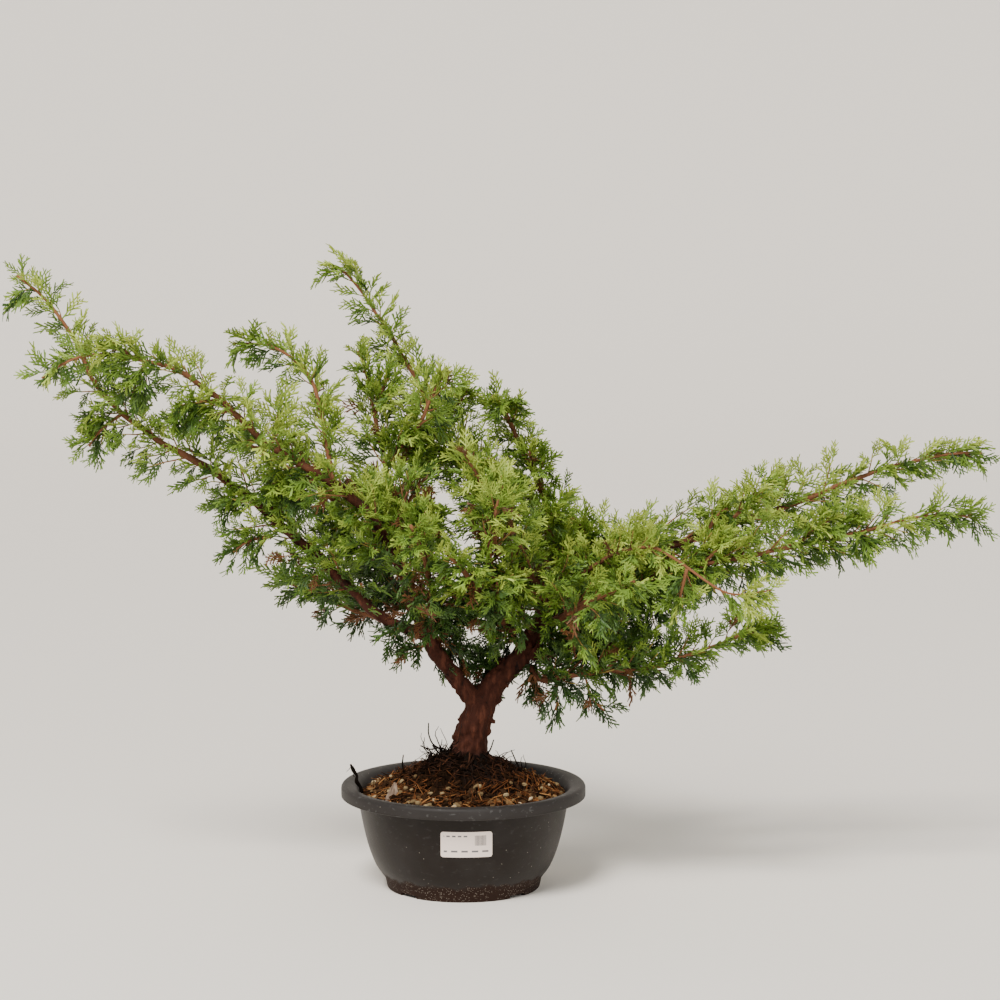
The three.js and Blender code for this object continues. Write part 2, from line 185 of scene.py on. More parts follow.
def normals_of(piece: Piece) -> Array:
    """The normals at all the corners of a mesh object."""
    flat = np.empty(3 * len(piece.data.vertices))
    piece.data.vertex_normals.foreach_get("vector", flat)
    return flat.reshape(-1, 3)


def move_corners(piece: Piece, corners: Array) -> None:
    """Puts the corners of a mesh object at new places."""
    piece.data.vertices.foreach_set("co", corners.ravel())
    piece.data.update()


def set_tones(piece: Piece, tones: Array) -> None:
    """Stores a tone at each corner of a mesh object, for its finish to read."""
    layer = piece.data.attributes.new("tone", "FLOAT", "POINT")
    layer.data.foreach_set("value", tones.astype(np.float32))


def face_count(piece: Piece) -> int:
    """The number of faces of a mesh object."""
    return len(piece.data.polygons)


def draw_in(piece: Piece) -> None:
    """Draws whatever reaches past the CAD box back towards its walls."""
    corners = corners_of(piece)
    low, high = np.array(CAD_BOX)
    inside = np.clip(corners, low, high)
    move_corners(piece, inside + OVERHANG * (corners - inside))


def unit(vectors: Array) -> Array:
    """Vectors scaled to length one."""
    return vectors / np.maximum(np.linalg.norm(vectors, axis=-1, keepdims=True), 1e-12)


def polar(distance: float, angle: float, height: float = 0.0) -> Array:
    """The point at a distance and an angle round an upright axis.

    Args:
        distance: Its distance from the axis.
        angle: Its angle round the axis from +X, in radians.
        height: Its height.

    Returns:
        The point as x, y, z.
    """
    return np.array((distance * math.cos(angle), distance * math.sin(angle), height))


@dataclass
class MeshStock:
    """Corners, faces and a tone per corner, collected before they become one mesh."""

    corners: list[Array] = field(default_factory=list)
    faces: list[list[int]] = field(default_factory=list)
    tones: list[Array] = field(default_factory=list)
    count: int = 0

    def add(self, corners: Array, faces: Iterable[Sequence[int]], tones: Array) -> None:
        """Adds one lump of mesh.

        Args:
            corners: Rows of x, y, z.
            faces: Corner numbers of each face, counted from this lump's first corner.
            tones: One value per corner.
        """
        self.faces.extend([[index + self.count for index in face] for face in faces])
        self.corners.append(corners)
        self.tones.append(tones)
        self.count += len(corners)

    def piece(self, name: str) -> Piece:
        """Makes the stock into a mesh object with a "tone" attribute.

        Args:
            name: The object's name.

        Returns:
            The new object.
        """
        mesh = bpy.data.meshes.new(name)
        mesh.from_pydata(np.concatenate(self.corners).tolist(), [], self.faces)
        piece = linked(name, mesh)
        set_tones(piece, np.concatenate(self.tones))
        return piece


# ---------------------------------------------------------------- centre lines and tubes


@dataclass
class CentreLine:
    """A smooth line through space with a radius at each of its points."""

    points: Array
    radii: Array
    ROOTING: ClassVar[float] = 0.008  # how far a branch runs on inside its parent
    RING_REACH: ClassVar[float] = 0.0088  # corners closer than this belong to one ring

    @classmethod
    def of_node(cls, node: str) -> "CentreLine":
        """The middle of a CAD branch, from its parent to its tip.

        A branch's solid is a tube of six-sided rings, so its corners fall into one cluster for
        each ring, and what is left of the cut ring at its foot.

        Args:
            node: The CAD branch's name.

        Returns:
            The line, a few millimetres longer at the foot so that it starts inside its parent.
        """
        corners = np.unique(np.round(corners_of(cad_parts[node]), 6), axis=0)
        rings = cls._clusters(corners, cls.RING_REACH)
        centres = np.array([ring.mean(axis=0) for ring in rings])
        radii = np.array([np.linalg.norm(ring - ring.mean(axis=0), axis=1).max() for ring in rings])
        order = [int(np.argmax([len(ring) for ring in rings]))]
        while len(order) < len(rings):
            gaps = np.linalg.norm(centres - centres[order[-1]], axis=1)
            gaps[order] = np.inf
            order.append(int(np.argmin(gaps)))
        points, radii = centres[order], radii[order]
        radii[0] = 1.15 * radii[1]
        inside = points[0] - unit(points[1] - points[0]) * cls.ROOTING
        return cls(np.vstack([inside, points]), np.hstack([radii[0], radii])).smoothed(0.005)

    @staticmethod
    def _clusters(corners: Array, reach: float) -> list[Array]:
        """Groups corners that lie close together, directly or through others.

        Args:
            corners: Rows of x, y, z.
            reach: The largest gap between neighbours.

        Returns:
            The corners of each group.
        """
        left = set(range(len(corners)))
        groups = []
        while left:
            group, edge = set(), {left.pop()}
            while edge:
                group |= edge
                near = set()
                for index in edge:
                    gaps = np.linalg.norm(corners - corners[index], axis=1)
                    near |= set(np.flatnonzero(gaps < reach).tolist()) & left
                left -= near
                edge = near
            groups.append(corners[sorted(group)])
        return groups

    def smoothed(self, step: float) -> "CentreLine":
        """The same line as a spline.

        Args:
            step: Distance between its points.

        Returns:
            The smooth line.
        """
        before, after = 2 * self.points[0] - self.points[1], 2 * self.points[-1] - self.points[-2]
        points = np.vstack([before, self.points, after])
        radii = np.hstack([self.radii[0], self.radii, self.radii[-1]])
        both = np.column_stack([points, radii])
        out = []
        for index in range(1, len(both) - 2):
            before, start, end, after = both[index - 1:index + 3]
            count = max(1, round(float(np.linalg.norm((end - start)[:3])) / step))
            for share in np.arange(count) / count:
                out.append(0.5 * (
                    2 * start + (end - before) * share
                    + (2 * before - 5 * start + 4 * end - after) * share**2
                    + (3 * start - before - 3 * end + after) * share**3
                ))
        out.append(both[-2])
        table = np.array(out)
        return CentreLine(table[:, :3], table[:, 3])

    def shortened(self, by: float) -> "CentreLine":
        """The same line without its end.

        Args:
            by: The length to leave out.

        Returns:
            The shorter line.
        """
        kept = self.lengths <= self.lengths[-1] - by
        return CentreLine(self.points[kept], self.radii[kept])

    @property
    def lengths(self) -> Array:
        """Distance along the line at each point."""
        steps = np.linalg.norm(np.diff(self.points, axis=0), axis=1)
        return np.hstack([0.0, np.cumsum(steps)])

    def at(self, distance: float) -> tuple[Array, Array, float]:
        """Reads the line at one place.

        Args:
            distance: How far along the line.

        Returns:
            Point, direction and radius there.
        """
        lengths = self.lengths
        index = int(np.clip(np.searchsorted(lengths, distance) - 1, 0, len(lengths) - 2))
        share = (distance - lengths[index]) / (lengths[index + 1] - lengths[index])
        start, end = self.points[index], self.points[index + 1]
        radius = self.radii[index] + share * (self.radii[index + 1] - self.radii[index])
        return start + share * (end - start), unit(end - start), float(radius)

    def add_tube(self, stock: MeshStock, sides: int, tones: Array) -> None:
        """Adds a closed tube round the line.

        Args:
            stock: Where the tube goes.
            sides: Number of sides.
            tones: One value per point of the line.
        """
        tangents = unit(np.gradient(self.points, axis=0))
        start = np.cross(tangents[0], (0.31, 0.87, 0.38))
        normals = [unit(start)]
        for tangent in tangents[1:]:
            normals.append(unit(normals[-1] - tangent * np.dot(normals[-1], tangent)))
        across = np.array(normals)
        beside = np.cross(tangents, across)
        angles = np.linspace(0, 2 * math.pi, sides, endpoint=False)
        rim = (
            across[:, None] * np.cos(angles)[None, :, None]
            + beside[:, None] * np.sin(angles)[None, :, None]
        )
        corners = self.points[:, None] + rim * self.radii[:, None, None]
        count = len(self.points)
        faces = [
            [ring * sides + side, ring * sides + (side + 1) % sides,
             (ring + 1) * sides + (side + 1) % sides, (ring + 1) * sides + side]
            for ring in range(count - 1) for side in range(sides)
        ]
        faces.append(list(range(sides))[::-1])
        faces.append([(count - 1) * sides + side for side in range(sides)])
        stock.add(corners.reshape(-1, 3), faces, np.repeat(tones, sides))


# ---------------------------------------------------------------- finishes


class Graph:
    """A short hand for building a material's nodes."""

    def __init__(self, tree: bpy.types.NodeTree) -> None:
        """Starts on a node tree."""
        self.tree = tree

    def node(self, kind: str, inputs: dict | None = None, **settings: object) -> bpy.types.Node:
        """Adds a node.

        Args:
            kind: The node's type without its "ShaderNode" prefix.
            inputs: Values or sockets for its inputs, by name or number.
            **settings: Values for the node's own properties.

        Returns:
            The node.
        """
        made = self.tree.nodes.new("ShaderNode" + kind)
        for key, value in settings.items():
            setattr(made, key, value)
        for key, value in (inputs or {}).items():
            if isinstance(value, Socket):
                self.tree.links.new(value, made.inputs[key])
            else:
                made.inputs[key].default_value = value
        return made

    def place(self, scale: Sequence[float] = (1, 1, 1), centre: Sequence[float] = (0, 0, 0)) -> Socket:
        """Object coordinates, moved to a centre and stretched.

        Args:
            scale: Factor on each axis.
            centre: The point that becomes the origin.

        Returns:
            The coordinates.
        """
        spot = self.node("TexCoord").outputs["Object"]
        shift = tuple(-scale[i] * centre[i] for i in range(3))
        return self.node("Mapping", {"Vector": spot, "Location": shift, "Scale": scale}).outputs[0]

    def noise(self, place: Socket, scale: float, detail: float = 3.0, rough: float = 0.55) -> Socket:
        """Soft noise.

        Args:
            place: Where to read it.
            scale: Its lumps per metre.
            detail: How many finer layers it has.
            rough: How strong the finer layers are.

        Returns:
            A value from 0 to 1.
        """
        inputs = {"Vector": place, "Scale": scale, "Detail": detail, "Roughness": rough}
        return self.node("TexNoise", inputs).outputs["Fac"]

    def ramp(self, value: Socket, stops: Sequence[tuple[float, Colour]]) -> Socket:
        """Colour read off a ramp.

        Args:
            value: Where on the ramp, from 0 to 1.
            stops: Position and colour of each stop.

        Returns:
            The colour socket.
        """
        made = self.node("ValToRGB", {0: value})
        elements = made.color_ramp.elements
        while len(elements) < len(stops):
            elements.new(0.5)
        for element, (position, colour) in zip(elements, stops):
            element.position = position
            element.color = (*colour, 1.0)
        return made.outputs[0]

    def band(self, value: Socket, low: float, high: float) -> Socket:
        """Stretches part of a value's range.

        Args:
            value: The value.
            low: What becomes 0.
            high: What becomes 1.

        Returns:
            The value between the two, smoothly.
        """
        inputs = {"Value": value, "From Min": low, "From Max": high}
        return self.node("MapRange", inputs, interpolation_type="SMOOTHSTEP").outputs[0]

    def mix(self, share: object, first: object, second: object) -> Socket:
        """Mixes two colours.

        Args:
            share: The second colour's share, as a number or a socket.
            first: The first colour, as a colour or a socket.
            second: The second colour, in the same way.

        Returns:
            The mixed colour.
        """
        made = self.node("Mix", data_type="RGBA")
        for key, value in ((0, share), (6, first), (7, second)):
            if isinstance(value, Socket):
                self.tree.links.new(value, made.inputs[key])
            else:
                made.inputs[key].default_value = value if key == 0 else (*value, 1.0)
        return made.outputs[2]

    def maths(self, operation: str, first: object, second: object = 0.0) -> Socket:
        """One sum of two numbers.

        Args:
            operation: The sum, as the Math node names it.
            first: Its first number or socket.
            second: Its second number or socket.

        Returns:
            The result.
        """
        return self.node("Math", {0: first, 1: second}, operation=operation).outputs[0]

    def times(self, first: object, second: object) -> Socket:
        """The product of two numbers or sockets."""
        return self.maths("MULTIPLY", first, second)

    def plus(self, first: object, second: object) -> Socket:
        """The sum of two numbers or sockets."""
        return self.maths("ADD", first, second)

    def stirred(self, value: Socket, grain: Socket, amount: float) -> Socket:
        """A value made uneven.

        Args:
            value: The value.
            grain: Noise from 0 to 1.
            amount: How far the noise moves the value, both ways together.

        Returns:
            The uneven value.
        """
        return self.plus(value, self.times(self.maths("SUBTRACT", grain, 0.5), amount))

    def attribute(self, name: str) -> Socket:
        """A number stored on the piece's own mesh."""
        return self.node("Attribute", attribute_name=name).outputs["Fac"]


def speckle_group() -> bpy.types.NodeTree:
    """Shader group that scatters small round flecks: dust, grit and pores.

    Returns:
        The group, with inputs Vector, Scale, Size and Share and the output Mask.
    """
    name = "Flecks"
    if name in bpy.data.node_groups:
        return bpy.data.node_groups[name]
    tree = bpy.data.node_groups.new(name, "ShaderNodeTree")
    tree.interface.new_socket("Vector", in_out="INPUT", socket_type="NodeSocketVector")
    for label, value in (("Scale", 400.0), ("Size", 0.2), ("Share", 0.3)):
        socket = tree.interface.new_socket(label, in_out="INPUT", socket_type="NodeSocketFloat")
        socket.default_value = value
    tree.interface.new_socket("Mask", in_out="OUTPUT", socket_type="NodeSocketFloat")
    graph = Graph(tree)
    given = tree.nodes.new("NodeGroupInput").outputs
    cells = graph.node("TexVoronoi", {"Vector": given["Vector"], "Scale": given["Scale"]})
    near = graph.maths("LESS_THAN", cells.outputs["Distance"], given["Size"])
    picked = graph.node("SeparateColor", {0: cells.outputs["Color"]}).outputs[0]
    chosen = graph.maths("LESS_THAN", picked, given["Share"])
    out = tree.nodes.new("NodeGroupOutput")
    tree.links.new(graph.times(near, chosen), out.inputs["Mask"])
    return tree


@dataclass(frozen=True)
class Finish:
    """A finish that paints one kind of surface. Each kind of finish paints in its own way."""

    name: str
    roughness: float = 0.6
    gloss: float = 0.2

    def material(self) -> bpy.types.Material:
        """The finish's material, made the first time it is asked for."""
        if self.name in bpy.data.materials:
            return bpy.data.materials[self.name]
        made = bpy.data.materials.new(self.name)
        made.use_nodes = True
        shader = made.node_tree.nodes["Principled BSDF"]
        shader.inputs["Roughness"].default_value = self.roughness
        shader.inputs["Specular IOR Level"].default_value = self.gloss
        self.paint(Graph(made.node_tree), shader)
        return made

    def paint(self, graph: Graph, shader: bpy.types.Node) -> None:
        """Links the finish's colours and relief to its shader."""
        raise NotImplementedError

    def flecks(self, graph: Graph, place: Socket, scale: float, size: float, share: float) -> Socket:
        """A mask of small flecks.

        Args:
            graph: The material's graph.
            place: Where to read them.
            scale: Their number per metre.
            size: Their radius, as a share of their spacing.
            share: How many of them there are, from 0 to 1.

        Returns:
            The mask.
        """
        made = graph.node("Group", node_tree=speckle_group())
        graph.tree.links.new(place, made.inputs["Vector"])
        made.inputs["Scale"].default_value = scale
        made.inputs["Size"].default_value = size
        made.inputs["Share"].default_value = share
        return made.outputs["Mask"]

    def relief(self, graph: Graph, shader: bpy.types.Node, height: Socket, depth: float,
               strength: float) -> None:
        """Turns a height into the shader's bumps.

        Args:
            graph: The material's graph.
            shader: Its Principled node.
            height: The height, from 0 to 1.
            depth: What a height of 1 means, in metres.
            strength: How strongly the bumps show.
        """
        bump = graph.node("Bump", {"Height": height, "Distance": depth, "Strength": strength})
        graph.tree.links.new(bump.outputs[0], shader.inputs["Normal"])

    def dress(self, piece: Piece) -> None:
        """Puts the finish on a piece as its only material."""
        piece.data.materials.clear()
        piece.data.materials.append(self.material())


@dataclass(frozen=True)
class BowlPlastic(Finish):
    """Black moulded plastic, dusty and scuffed, with dried soil round its foot."""

    base: Colour = (0.0096, 0.0062, 0.0046)
    dust: Colour = (0.054, 0.051, 0.050)
    scuff: Colour = (0.115, 0.112, 0.110)
    soil: Colour = (0.022, 0.009, 0.005)
    fleck: Colour = (0.34, 0.30, 0.25)
    foot_height: float = 0.016
    rim_height: float = BOWL_HIGH.z - 0.0125

    def paint(self, graph: Graph, shader: bpy.types.Node) -> None:
        """Paints plastic, dust film, flecks, scuffs and the soil stain."""
        place = graph.place(centre=AXIS)
        height = graph.node("SeparateXYZ", {0: place}).outputs[2]
        film = graph.band(graph.noise(place, 26.0, 4.0), 0.42, 0.78)
        rim = graph.band(height, self.rim_height - 0.004, self.rim_height + 0.004)
        # a band round the rim is made paler, on top of the patchy dust film
        film = graph.plus(graph.times(film, 0.16), graph.times(rim, 0.26))
        colour = graph.mix(film, self.base, self.dust)
        scuffs = graph.place((1.0, 1.0, 1.7), AXIS)
        scuff = graph.band(graph.noise(scuffs, 160.0, 4.0), 0.58, 0.72)
        worn = graph.plus(graph.times(rim, 0.28), 0.12)
        colour = graph.mix(graph.times(scuff, worn), colour, self.scuff)
        specks = self.flecks(graph, place, 240.0, 0.10, 0.12)
        colour = graph.mix(graph.times(specks, 0.7), colour, self.fleck)
        ragged = graph.times(graph.noise(place, 70.0, 4.0), 0.018)
        edge = graph.maths("SUBTRACT", height, ragged)
        stain = graph.band(edge, self.foot_height - 0.006, self.foot_height - 0.012)
        colour = graph.mix(graph.times(stain, 0.9), colour, self.soil)
        grains = self.flecks(graph, place, 820.0, 0.36, 0.26)
        gritty = graph.times(grains, stain)
        colour = graph.mix(graph.times(gritty, 0.55), colour, self.fleck)
        graph.tree.links.new(colour, shader.inputs["Base Color"])
        rough = graph.plus(graph.times(stain, 0.4), graph.times(film, 0.5))
        graph.tree.links.new(graph.plus(rough, self.roughness), shader.inputs["Roughness"])
        bumps = graph.plus(graph.noise(place, 900.0, 2.0), gritty)
        self.relief(graph, shader, bumps, 0.0003, 0.35)


@dataclass(frozen=True)
class StickerPaper(Finish):
    """White coated paper with plain grey rules instead of print."""

    base: Colour = (0.95, 0.80, 0.715)
    grey: Colour = (0.62, 0.60, 0.57)
    ink: Colour = (0.16, 0.15, 0.15)
    rows: tuple[tuple[float, ...], ...] = (
        (0.06, 0.54, 0.80, 0.86, 9.0), (0.06, 0.94, 0.20, 0.27, 5.0), (0.66, 0.88, 0.46, 0.86, 40.0),
    )

    def paint(self, graph: Graph, shader: bpy.types.Node) -> None:
        """Paints the paper and its rules from the sticker's own UV map."""
        spot = graph.node("UVMap", uv_map="face").outputs[0]
        across, up = graph.node("SeparateXYZ", {0: spot}).outputs[:2]
        upper, lower, patch = (self.rules(graph, across, up, *row) for row in self.rows)
        ink = graph.plus(graph.plus(upper, lower), patch)
        grain = graph.noise(graph.place(), 500.0, 2.0)
        paper = graph.mix(graph.times(grain, 0.1), self.base, self.grey)
        graph.tree.links.new(graph.mix(ink, paper, self.ink), shader.inputs["Base Color"])
        self.relief(graph, shader, grain, 0.0001, 0.2)

    def rules(self, graph: Graph, across: Socket, up: Socket,
              left: float, right: float, low: float, high: float, dashes: float) -> Socket:
        """A mask of one row of dashes.

        Args:
            graph: The material's graph.
            across: The place across the sticker, from 0 to 1.
            up: The place up the sticker, from 0 to 1.
            left: Where the row starts.
            right: Where the row ends.
            low: The row's lower edge.
            high: The row's upper edge.
            dashes: How many dashes would fill the sticker's width.

        Returns:
            The mask.
        """
        inside = [
            graph.maths("GREATER_THAN", across, left), graph.maths("LESS_THAN", across, right),
            graph.maths("GREATER_THAN", up, low), graph.maths("LESS_THAN", up, high),
            graph.maths("LESS_THAN", graph.maths("FRACT", graph.times(across, dashes)), 0.62),
        ]
        mask = inside[0]
        for part in inside[1:]:
            mask = graph.times(mask, part)
        return mask


@dataclass(frozen=True)
class Bark(Finish):
    """Red-brown juniper bark that flakes in long strips, paler and more orange on young twigs."""

    old: Colour = (0.046, 0.013, 0.007)
    flake: Colour = (0.104, 0.032, 0.017)
    crack: Colour = (0.010, 0.005, 0.004)
    young: Colour = (0.26, 0.112, 0.052)
    tip: Colour = (0.33, 0.25, 0.055)
    stretch: float = 0.3
    dark_foot_height: float = 0.136

    def paint(self, graph: Graph, shader: bpy.types.Node) -> None:
        """Paints strips, flakes and cracks, young bark by the mesh's tone, and a darker foot near the soil.
        """
        strips = graph.place((1.0, 1.0, self.stretch))
        coarse = graph.noise(strips, 150.0, 5.0, 0.62)
        fine = graph.noise(strips, 620.0, 3.0)
        patches = graph.noise(graph.place(), 45.0, 3.0)
        colour = graph.mix(graph.band(coarse, 0.48, 0.68), self.old, self.flake)
        flaky = graph.times(graph.band(patches, 0.5, 0.75), 0.5)
        colour = graph.mix(flaky, colour, self.flake)
        colour = graph.mix(graph.band(coarse, 0.42, 0.33), colour, self.crack)
        tone = graph.attribute("tone")
        colour = graph.mix(graph.band(tone, 0.15, 0.55), colour, self.young)
        colour = graph.mix(graph.band(tone, 0.7, 1.0), colour, self.tip)
        colour = graph.mix(graph.times(fine, 0.35), colour, self.crack)
        # the bark is made much darker below about the soil's height, with a ragged edge
        height = graph.node("SeparateXYZ", {0: graph.place()}).outputs[2]
        level = graph.plus(height, graph.times(patches, 0.012))
        dark_foot = graph.band(level, self.dark_foot_height + 0.012, self.dark_foot_height - 0.004)
        colour = graph.mix(graph.times(dark_foot, 0.88), colour, self.crack)
        graph.tree.links.new(colour, shader.inputs["Base Color"])
        self.relief(graph, shader, graph.plus(coarse, graph.times(fine, 0.4)), 0.0016, 0.8)


@dataclass(frozen=True)
class ScaleLeaf(Finish):
    """Scale leaves, from deep blue-green to yellow-green at the growing tips; the darkness inside and low in
    the crown is partly painted shade.
    """

    deep: Colour = (0.007, 0.019, 0.005)
    mature: Colour = (0.045, 0.098, 0.013)
    fresh: Colour = (0.168, 0.272, 0.030)
    tip: Colour = (0.41, 0.50, 0.080)
    dead: Colour = (0.135, 0.055, 0.019)

    def paint(self, graph: Graph, shader: bpy.types.Node) -> None:
        """Paints by the tone on the mesh: below nought is dead, then deep to growing tip."""
        tone = graph.attribute("tone")
        cloud = graph.noise(graph.place(), 22.0, 2.0)
        grain = graph.noise(graph.place(), 900.0, 1.0)
        shifted = graph.stirred(graph.stirred(tone, cloud, 0.55), grain, 0.25)
        stops = ((0.0, self.deep), (0.38, self.mature), (0.72, self.fresh), (1.0, self.tip))
        colour = graph.ramp(shifted, stops)
        colour = graph.mix(graph.band(tone, -0.2, -0.5), colour, self.dead)
        graph.tree.links.new(colour, shader.inputs["Base Color"])
        self.relief(graph, shader, grain, 0.0003, 0.4)


@dataclass(frozen=True)
class Litter(Finish):
    """Loose organic bits, each with a tone of its own along a ramp of colours."""

    colours: tuple[Colour, ...] = ((0.0, 0.0, 0.0), (1.0, 1.0, 1.0))
    grain: float = 300.0
    depth: float = 0.0006

    def paint(self, graph: Graph, shader: bpy.types.Node) -> None:
        """Paints by the tone on the mesh, with a little grain."""
        tone = graph.attribute("tone")
        grain = graph.noise(graph.place(), self.grain, 3.0)
        stops = list(zip(np.linspace(0, 1, len(self.colours)), self.colours))
        colour = graph.ramp(graph.stirred(tone, grain, 0.5), stops)
        graph.tree.links.new(colour, shader.inputs["Base Color"])
        self.relief(graph, shader, grain, self.depth, 0.7)


@dataclass(frozen=True)
class PaleFloor(Finish):
    """Plain pale floor."""

    base: Colour = (0.94, 0.88, 0.80)

    def paint(self, graph: Graph, shader: bpy.types.Node) -> None:
        """Paints a plain colour with barely any mottling."""
        cloud = graph.noise(graph.place(), 3.0, 2.0)
        colour = graph.mix(graph.times(cloud, 0.06), self.base, (0.7, 0.7, 0.7))
        graph.tree.links.new(colour, shader.inputs["Base Color"])


BOWL_PLASTIC = BowlPlastic("bowl_plastic", 0.42)
STICKER_PAPER = StickerPaper("sticker_paper", 0.4)
BARK = Bark("bark", 0.82, 0.14)
LEAF = ScaleLeaf("scale_leaf", 0.48, 0.32)
SOIL = Litter(
    "dark_soil", 0.95, 0.0,
    ((0.003, 0.002, 0.002), (0.010, 0.006, 0.004), (0.030, 0.015, 0.008)), 420.0, 0.0012,
)
DRY_NEEDLE = Litter(
    "dry_needles", 0.7, 0.04, ((0.016, 0.007, 0.004), (0.145, 0.050, 0.016), (0.50, 0.25, 0.085)), 250.0,
)
CHIP = Litter(
    "bark_chips", 0.85, 0.0, ((0.005, 0.003, 0.002), (0.040, 0.020, 0.010), (0.25, 0.145, 0.062)), 260.0,
)
GRIT = Litter(
    "pumice_grit", 0.85, 0.04, ((0.10, 0.062, 0.028), (0.28, 0.20, 0.10), (0.62, 0.49, 0.31)), 520.0,
)
ROOT = Litter(
    "fine_roots", 0.8, 0.04, ((0.005, 0.004, 0.003), (0.018, 0.009, 0.006), (0.10, 0.038, 0.018)), 300.0,
)
GREY_BARK = Litter(
    "weathered_bark", 0.85, 0.04, ((0.05, 0.034, 0.024), (0.20, 0.138, 0.098), (0.36, 0.27, 0.20)), 340.0,
)
FLOOR = PaleFloor("pale_floor", 0.8)


# ---------------------------------------------------------------- bowl and sticker


@dataclass
class Bowl:
    """Round training bowl with a flared wall, a flanged rim and a notched foot ring."""

    rim_radius: float = (BOWL_HIGH.x - BOWL_LOW.x) / 2
    height: float = BOWL_HIGH.z
    wall: float = 0.0024
    foot: float = 0.0755
    foot_width: float = 0.0045
    floor_under: float = 0.0065
    floor_top: float = 0.009
    sides: int = 120
    outline: tuple[tuple[float, float], ...] = (
        (0.0775, 0.010), (0.0862, 0.022), (0.0928, 0.038),
        (0.0976, 0.0555), (0.1016, 0.0755), (0.1054, 0.0979),
    )
    notches: int = 4
    notch_size: tuple[float, float, float] = (0.02, 0.021, 0.006)
    slots: int = 8
    slot_size: tuple[float, float, float] = (0.032, 0.0036, 0.03)
    slot_middle: float = 0.036
    rim_bend: float = 0.0042

    def wall_line(self, offset: float = 0.0) -> list[tuple[float, float]]:
        """The wall's outline as a smooth line.

        Args:
            offset: How far it is moved outwards.

        Returns:
            Radius and height of each point, from foot to rim.
        """
        points = np.array([(radius, 0.0, height) for radius, height in self.outline])
        line = CentreLine(points, np.zeros(len(points))).smoothed(0.004).points
        return [(float(x) + offset, float(z)) for x, _, z in line]

    def wall_radius(self, height: float) -> float:
        """Outside radius of the wall at a height."""
        radii, heights = zip(*self.wall_line())
        return float(np.interp(height, heights, radii))

    def profile(self) -> list[tuple[float, float]]:
        """The bowl's whole section, from under the floor to the top of it.

        Returns:
            Radius and height of each point.
        """
        rim, top = self.rim_radius, self.height
        foot_inner = self.foot - self.foot_width
        bend = self.rim_bend
        rounding = [
            (rim - bend + bend * math.cos(angle), top - bend + bend * math.sin(angle))
            for angle in np.linspace(0, math.pi / 2, 6)
        ]
        lip = [
            (rim - bend, top - 0.0044), (rim - 0.0030, top - 0.0056), (rim - 0.0028, top - 0.0116),
            (rim - 0.0024, top - 0.0120), (rim - 0.0006, top - 0.0120), (rim - 0.0001, top - 0.0116),
            (rim, top - 0.0085),
        ]
        flange = [
            (0.1105, top - 0.0006), (0.1086, top - 0.0013), (0.1068, top - 0.0022), (0.1050, top - 0.0042),
        ]
        lowest = self.floor_top + 0.004
        inside = [point for point in self.wall_line(-self.wall)[::-1] if point[1] > lowest]
        return [
            (foot_inner - 0.002, self.floor_under), (foot_inner, 0.0006),
            (foot_inner + 0.0006, 0.0), (self.foot - 0.0006, 0.0), (self.foot, 0.0006),
            *self.wall_line(), *lip, *rounding, *flange, *inside[3:],
            (0.073, self.floor_top + 0.0015), (0.066, self.floor_top), (0.012, self.floor_top),
        ]

    def build(self) -> Piece:
        """Draws the section up ring by ring from one circle, then cuts the notches and slots.

        Returns:
            The bowl.
        """
        (radius, height), *rest = self.profile()
        bpy.ops.object.select_all(action="DESELECT")
        middle = (AXIS.x, AXIS.y, height)
        bpy.ops.mesh.primitive_circle_add(vertices=self.sides, radius=radius, location=middle)
        piece = settle(bpy.context.object, "training_bowl")
        bpy.ops.object.mode_set(mode="EDIT")
        bpy.ops.mesh.select_all(action="SELECT")
        bpy.ops.mesh.edge_face_add()
        bpy.ops.mesh.select_all(action="SELECT")
        bpy.ops.mesh.select_mode(type="EDGE")
        for next_radius, next_height in rest:
            rise = {"value": (0, 0, next_height - height)}
            bpy.ops.mesh.extrude_edges_move(TRANSFORM_OT_translate=rise)
            ratio, middle = next_radius / radius, (AXIS.x, AXIS.y, next_height)
            bpy.ops.transform.resize(value=(ratio, ratio, 1), center_override=middle)
            radius, height = next_radius, next_height
        bpy.ops.mesh.edge_face_add()
        bpy.ops.mesh.select_all(action="SELECT")
        bpy.ops.mesh.normals_make_consistent(inside=False)
        bpy.ops.object.mode_set(mode="OBJECT")
        self.cut(piece, self.notches, 0.5, self.foot, 0.0, self.notch_size)
        self.cut(piece, self.slots, 0.0, self.slot_middle, self.floor_top, self.slot_size)
        activate(piece)
        bpy.ops.object.shade_smooth_by_angle(angle=math.radians(38))
        BOWL_PLASTIC.dress(piece)
        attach(piece, "root")
        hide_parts("pot")
        return piece

    def cut(self, piece: Piece, count: int, turn: float, radius: float, height: float,
            size: tuple[float, float, float]) -> None:
        """Cuts a ring of equal box-shaped holes.

        Args:
            piece: The bowl.
            count: How many holes.
            turn: Where the first one is, as a share of the step between them.
            radius: Distance of each hole's middle from the axis.
            height: Height of each hole's middle.
            size: The hole's size outwards, along the ring and up.
        """
        cutters = []
        for index in range(count):
            angle = (index + turn) * 2 * math.pi / count
            middle = (AXIS.x + radius * math.cos(angle), AXIS.y + radius * math.sin(angle), height)
            bpy.ops.object.select_all(action="DESELECT")
            bpy.ops.mesh.primitive_cube_add(size=1, location=middle, rotation=(0, 0, angle), scale=size)
            cutters.append(bpy.context.object)
        cutter = joined(cutters, "cutter")
        modify(cutter, "BEVEL", width=0.0008, segments=2)
        modify(piece, "BOOLEAN", operation="DIFFERENCE", object=cutter, solver="EXACT")
        bpy.data.objects.remove(cutter)


